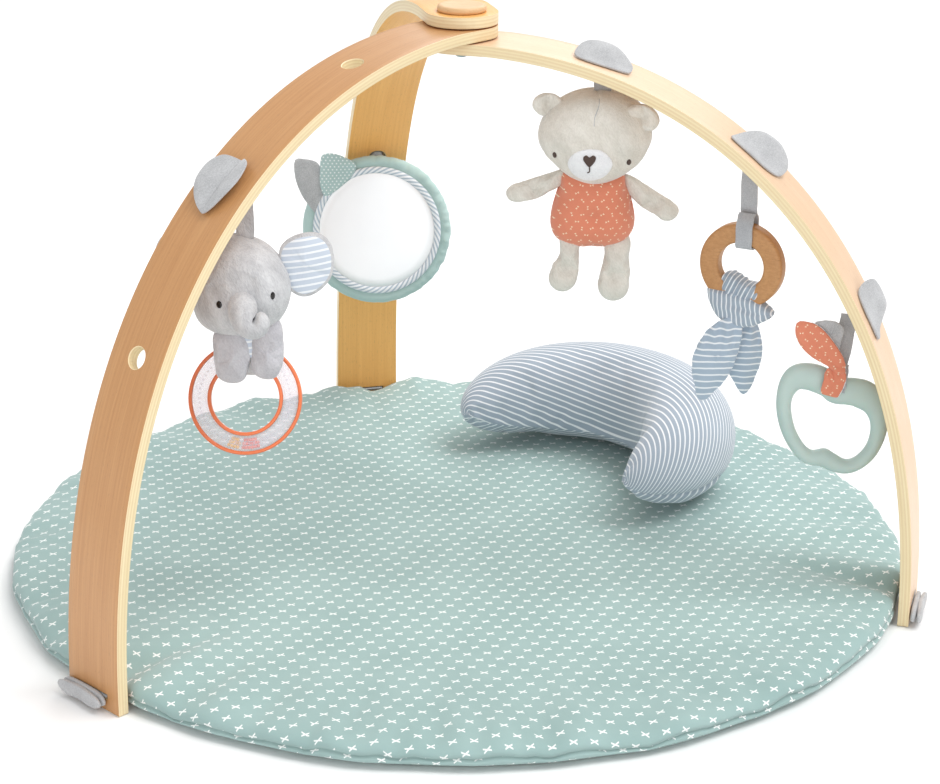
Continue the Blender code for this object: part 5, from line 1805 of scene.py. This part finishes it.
WRAP_BARS = {
    "over": (
        (
            (-36, -114), (-25, -112.5), (-9, -113), (10, -117), (28, -127), (30, -133), (20, -141), (4, -148),
            (-8, -149), (-20, -144), (-31, -132),
        ),
        13.0, 2.8,
    ),
    "inside": (
        (
            (-20, -98), (-12, -95.5), (-2, -100), (6, -104), (15, -103.5), (17, -110), (15, -118), (4, -122),
            (-10, -121), (-19, -115), (-22, -106),
        ),
        10.6, 3.2,
    ),
}
knot_bm = bmesh.new()
cut = knot_bm.loops.layers.uv.new("cut")
for label, (shape, depth, power) in WRAP_BARS.items():
    wrap_bm = sewn_pad(shape, depth, power=power, segments=72, rings=32)
    for vert in wrap_bm.verts:
        x, y, z = vert.co
        if label == "over":
            fold = 0.0006 * math.sin((z + 0.16 * x) * 520.0) + 0.0008 * noise.noise(
                Vector((x * 90, y * 40, z * 120))
            )
            fold -= 0.0032 * bell(z + 0.128 + 0.25 * (x - 0.003), 0.0028) * ease(x, -0.016, 0.006)
        else:
            fold = 0.0014 * math.sin((x - 0.5 * z) * 900.0) + 0.0010 * noise.noise(
                Vector((x * 120, y * 40, z * 80))
            )
        vert.co.y += -fold if y < 0.0 else fold
    for face in wrap_bm.faces:
        for loop in face.loops:
            loop[wrap_bm.loops.layers.uv["cut"]].uv = (
                loop.vert.co.x + (0.10 if label == "over" else -0.45) * loop.vert.co.z, loop.vert.co.z,
            )
    pour(wrap_bm, knot_bm)
finish_piece(
    "ring_wrap_tied", knot_bm, ("stripe_knot",), "ring_toy", ("ring_knot",), ring_turned,
)

TAILS = {
    "left": (
        (
            (-7, -136), (-23, -142), (-38, -157), (-46, -178), (-45, -200), (-37, -223), (-24, -212),
            (-11, -195), (-3, -169), (-1, -146),
        ),
        8.0, -5.0,
    ),
    "right": (
        (
            (2, -136), (13, -146), (19, -160), (21.5, -177), (17, -199), (6, -221), (-5, -206), (-12, -190),
            (-8, -165), (-4, -146),
        ),
        7.5, 7.0,
    ),
}
for side, (shape, depth, front) in TAILS.items():
    tail_bm = sewn_pad(shape, depth, front, power=1.8, segments=64, rings=24)
    for vert in tail_bm.verts:
        fold = noise.noise(Vector((vert.co.x * 60 + front, 0.0, vert.co.z * 16)))
        top = ease(vert.co.z, -0.175, -0.145)
        vert.co.y += 0.0014 * fold + 0.0022 * top * math.sin(vert.co.x * 520.0)
    tail = finish_piece(
        f"ring_tail_{side}_sewn", tail_bm, ("stripe_tail",), "ring_toy",
        (f"ring_tail_{side}",), ring_place,
    )
    stuff(tail, 2.5, 0.0020, 0.05)
print("ring toy:", len(TAILS), "tails")

# %% [markdown]
# ## Apple teether
# The teether is one silicone ring in the outline of an apple, thick over the top and thin below.
# Two outlines, the outer and the hole, give at each angle both the middle of the bar and its
# width, and an oval section is swept round them. A coral leaf and a ribbed felt leaf are tied on
# with the strap.

# %% Teether
teether_place = toy_place("swing_teether")
APPLE_OUTER = (
    (-65, -87), (-63.3, -66), (-56, -50), (-45, -43.5), (-34, -43), (-22, -47.5), (-12, -54.5), (-1, -59),
    (10, -59.5),
    (24, -63), (35, -72.5), (41.8, -87), (43, -103), (40.5, -121), (32.5, -139.5), (19, -152.5),
    (4.2, -157.5), (-8, -155.5),
    (-19, -150), (-28, -148.8), (-40, -142.8), (-52.2, -127), (-60.8, -108),
)
APPLE_HOLE = (
    (-50.5, -89.6), (-48.6, -77), (-41.2, -70), (-31.4, -71), (-18, -80), (-11.7, -85), (-4.4, -86),
    (6.7, -87), (17.7, -91.5),
    (24.6, -101.4), (26.3, -114.6), (22.6, -129), (12.8, -140.5), (1.8, -142.5), (-8, -136), (-15.4, -131),
    (-21.6, -133),
    (-29, -133), (-37.5, -125), (-46, -109.3),
)
apple_middle = Vector((-11.5, -106.0))
outer_reach = outline_reach(APPLE_OUTER, apple_middle)
hole_reach = outline_reach(APPLE_HOLE, apple_middle)
APPLE_STEPS = 160
bars = []
for step in range(APPLE_STEPS):
    angle = 2 * math.pi * step / APPLE_STEPS - math.pi
    far, near = outer_reach(angle), hole_reach(angle)
    middle = apple_middle + Vector((math.cos(angle), math.sin(angle))) * (far + near) / 2
    bars.append((middle, (far - near) / 2))
smooth_bars = []
for step in range(APPLE_STEPS):
    around = [bars[(step + offset) % APPLE_STEPS] for offset in (-2, -1, 0, 1, 2)]
    middle = sum((bar[0] for bar in around), Vector((0.0, 0.0))) / 5
    tangent = (bars[(step + 2) % APPLE_STEPS][0] - bars[step - 2][0]).normalized()
    radial = (bars[step][0] - apple_middle).normalized()
    lean = abs(tangent.x * radial.y - tangent.y * radial.x)
    half = sum(bar[1] for bar in around) / 5 * max(lean, 0.75)
    smooth_bars.append((Vector((middle.x, 0.0, middle.y)) * MM, 0.0070, half * MM))
teether_bm = sweep(smooth_bars, 24, side=Vector((0.0, 1.0, 0.0)), closed=True)
finish_piece(
    "teether_apple", teether_bm, ("sage_silicone",), "teether_toy", ("teether",),
    teether_place
)

LEAF_CORAL = (
    (-51.5, 0.5), (-38.5, 0.0), (-27.5, -6.5), (-15.5, -20.5), (-6.5, -34.5), (-3.5, -47.5), (-10.5, -52.5),
    (-21.5, -42.5), (-36.5, -33.5), (-47.5, -22.5), (-53.0, -10.5),
)
LEAF_TAIL = (
    (-21.5, -47.5), (-13.5, -44.5), (-3.5, -47.5), (-2.5, -58.5), (-6.5, -70.5), (-9.5, -75.0),
    (-17.5, -73.5), (-25.0, -70.0), (-23.5, -58.5),
)
coral_bm = bmesh.new()
for shape, depth, front in ((LEAF_CORAL, 2.6, -12.6), (LEAF_TAIL, 1.5, -11.0)):
    layer_bm = sewn_pad(shape, depth, front, power=2.6, segments=64, rings=18)
    for vert in layer_bm.verts:
        x, y, z = vert.co
        gathered = bell(z + 0.0485, 0.010)
        vert.co.y += 0.0012 * gathered * math.sin((x + 0.35 * z) * 1500.0)
        rib = abs((x + 0.0275) * 0.80 + (z + 0.0245) * 0.62)
        vert.co.y -= 0.0016 * ease(rib, 0.0, 0.010) if z > -0.0425 else 0.0
    pour(layer_bm, coral_bm)
finish_piece(
    "teether_leaf_coral_sewn", coral_bm, ("coral_cotton",), "teether_toy",
    ("teether_leaf_coral",),
    teether_place,
)
edge_bm = bmesh.new()
EDGE_LINE = [
    (-38.5, 0.3), (-31.5, -3.0), (-24.5, -9.0), (-15.5, -20.3), (-10.0, -28.5), (-6.1, -36.0), (-3.9, -43.5),
    (-3.7, -48.5), (-2.3, -58.5), (-4.7, -66.5), (-8.5, -74.5),
]
stitch_row(
    edge_bm, [Vector((x, -13.0 if z > -48.5 else -11.4, z)) * MM for x, z in EDGE_LINE], share=1.06,
    radius=0.00055,
)
finish_piece(
    "teether_leaf_edging", edge_bm, ("white_plush",), "teether_toy", (), teether_place,
)

LEAF_GREY = (
    (-34.5, -1.0), (-24.0, 1.2), (-13.0, -1.0), (-6.8, -8.6), (-9.0, -20.0), (-12.0, -34.0), (-19.0, -32.0),
    (-26.0, -18.0), (-32.0, -9.0),
)
grey_bm = sewn_pad(LEAF_GREY, 1.1, -10.0, power=5.0, segments=72, rings=26)
for vert in grey_bm.verts:
    vert.co.y += 0.0004 * math.sin((vert.co.x - 0.3 * vert.co.z) * 3400.0)
grey_leaf = finish_piece(
    "teether_leaf_grey_cut", grey_bm, ("grey_felt",), "teether_toy", ("teether_leaf_grey",),
    teether_place
)
declare_leaf(grey_leaf, LEAF_GREY)
print(
    "teether bar widths, mm:",
    [
        round(min(bar[2] for bar in smooth_bars) * 2000, 1),
        round(max(bar[2] for bar in smooth_bars) * 2000, 1),
    ],
)
# %% [markdown]
# ## Filling the soft pieces
# Now every sewn piece is filled in one run. Afterwards the pillow is set down: no point of it
# may sink into the mat. One level of subdivision then smooths each piece for the eye.

# %% Run the stuffing
run_stuffing()
for vert in pillow.data.vertices:
    floor_here = rumple(Vector((vert.co.x, vert.co.y, MAT_TOP))).z + 0.0006
    vert.co.z = max(vert.co.z, floor_here)
for piece, _limit in stuffed:
    round_off(piece)

# %% [markdown]
# ## Faces
# Eyes, noses and muzzles are embroidered or sewn on once the head is full, so they are made
# last and laid on the finished plush. Each mark is found by looking along the viewer's line of
# sight until it meets the head, then raised a little from the surface there.

# %% Faces
from mathutils.bvhtree import BVHTree


def skin_of(*pieces):
    """Search trees of the pieces' finished surfaces."""
    graph = bpy.context.evaluated_depsgraph_get()
    return [BVHTree.FromObject(piece, graph) for piece in pieces]


def spot_on(skins, place, x, z, guess):
    """Point and normal of the front surface where a mark drawn at depth guess is seen."""
    target = place @ (Vector((x, -guess, z)) * MM)
    sight = (target - CAMERA_PLACE).normalized()
    found = []
    for skin in skins:
        hit, normal, _index, far = skin.ray_cast(target - sight * 0.12, sight)
        if hit is not None:
            found.append((far, hit, normal))
    if not found:
        return target, -sight
    _far, hit, normal = min(found, key=lambda row: row[0])
    return hit, (normal if normal.dot(sight) < 0.0 else -normal)


def laid_patch(skins, place, outline, guess, lift, sink=1.2, segments=48, rings=16, power=2.0):
    """Small filled patch on a head: its rim lies on the plush and its middle stands up by lift."""
    bm = sewn_pad(outline, 1.0, 0.0, power=2.0, segments=segments, rings=rings)
    for vert in bm.verts:
        x, tall, z = vert.co / MM
        hit, normal = spot_on(skins, place, x, z, guess)
        height = max(-tall, 0.0) ** (1.0 / power) * lift - (sink if tall > 0.02 else 0.0)
        vert.co = hit + normal * height * MM
    return bm


bear_skin = skin_of(bear_head)
MUZZLE = (
    (-30.8, -67.5), (-26, -59.5), (-18, -56), (-10, -54.8), (0, -56), (8, -62), (11, -70), (6, -78),
    (-1, -82.5), (-11, -84), (-20, -81.5), (-27, -76),
)
muzzle_bm = laid_patch(bear_skin, bear_place, MUZZLE, 35, 3.4, power=2.6)
muzzle = finish_piece(
    "bear_muzzle_sewn", muzzle_bm, ("white_plush",), "bear", ("bear_muzzle",)
)
round_off(muzzle)
muzzle_skin = skin_of(muzzle, bear_head)
NOSE = (
    (-10.6, -62.6), (-7.6, -60.8), (-5.0, -62.0), (-4.8, -65.0), (-7.0, -68.8), (-10.5, -72.0),
    (-14.0, -68.8), (-16.4, -65.0), (-16.0, -62.0), (-13.4, -60.8),
)
nose_bm = laid_patch(muzzle_skin, bear_place, NOSE, 35, 1.5, power=3.0, segments=40, rings=12)
finish_piece("bear_nose_embroidered", nose_bm, ("brown_thread",), "bear", ("bear_nose",))

MOUTH = [(-10.5, -71.0), (-10.3, -73.5), (-10.2, -75.6), (-10.9, -76.9), (-12.3, -77.2)]
line = []
for x, z in MOUTH:
    hit, normal = spot_on(muzzle_skin, bear_place, x, z, 35)
    line.append((hit + normal * 0.0003, 0.0006, 0.0006))
finish_piece("bear_mouth_stitch", sweep(line, 8), ("brown_thread",), "bear")

# Thin dark grey line along the crown dart: the seam is real, its dark colour is painted shade for the groove.
dart = []
for step in range(14):
    z = -8.5 - 26.0 * step / 13
    hit, normal = spot_on(bear_skin, bear_place, -2.5 + 0.16 * (z + 7.0) + 0.9 * math.sin(step * 0.5), z, 30)
    dart.append((hit - normal * 0.0002, 0.0004, 0.0004))
finish_piece("bear_crown_dart_painted_shade", sweep(dart, 6), ("grey_webbing",), "bear")


def oval(x, z, wide, tall, slant):
    """Outline of a leaning oval."""
    turn = math.radians(slant)
    ring = []
    for step in range(12):
        angle = 2 * math.pi * step / 12
        a, b = wide / 2 * math.cos(angle), tall / 2 * math.sin(angle)
        ring.append(
            (x + a * math.cos(turn) - b * math.sin(turn), z + a * math.sin(turn) + b * math.cos(turn))
        )
    return tuple(ring)


EYES = {
    "bear_eye_left": (
        bear_skin, bear_place, oval(-43, -60.5, 3.6, 5.6, 18), 35, "bear", "brown_thread", "brown_thread",
    ),
    "bear_eye_right": (
        bear_skin, bear_place, oval(26, -67, 4.2, 5.6, -14), 35, "bear", "brown_thread", "brown_thread",
    ),
}
elephant_skin = skin_of(elephant_head)
EYES["elephant_eye_left"] = (
    elephant_skin, elephant_place, oval(-15.2, -89.5, 4.8, 7.0, 6), 35, "elephant", "brown_thread",
    "black_eye"
)
EYES["elephant_eye_right"] = (
    elephant_skin, elephant_place, oval(31.8, -81, 3.8, 7.2, -4), 35, "elephant", "brown_thread", "black_eye"
)
for name, (skins, place, shape, guess, body, slot_name, coat) in EYES.items():
    eye_bm = laid_patch(skins, place, shape, guess, 0.8, sink=0.8, segments=24, rings=10)
    finish_piece(f"{name}_embroidered", eye_bm, (coat,), body)
print("faces:", len(EYES), "eyes")
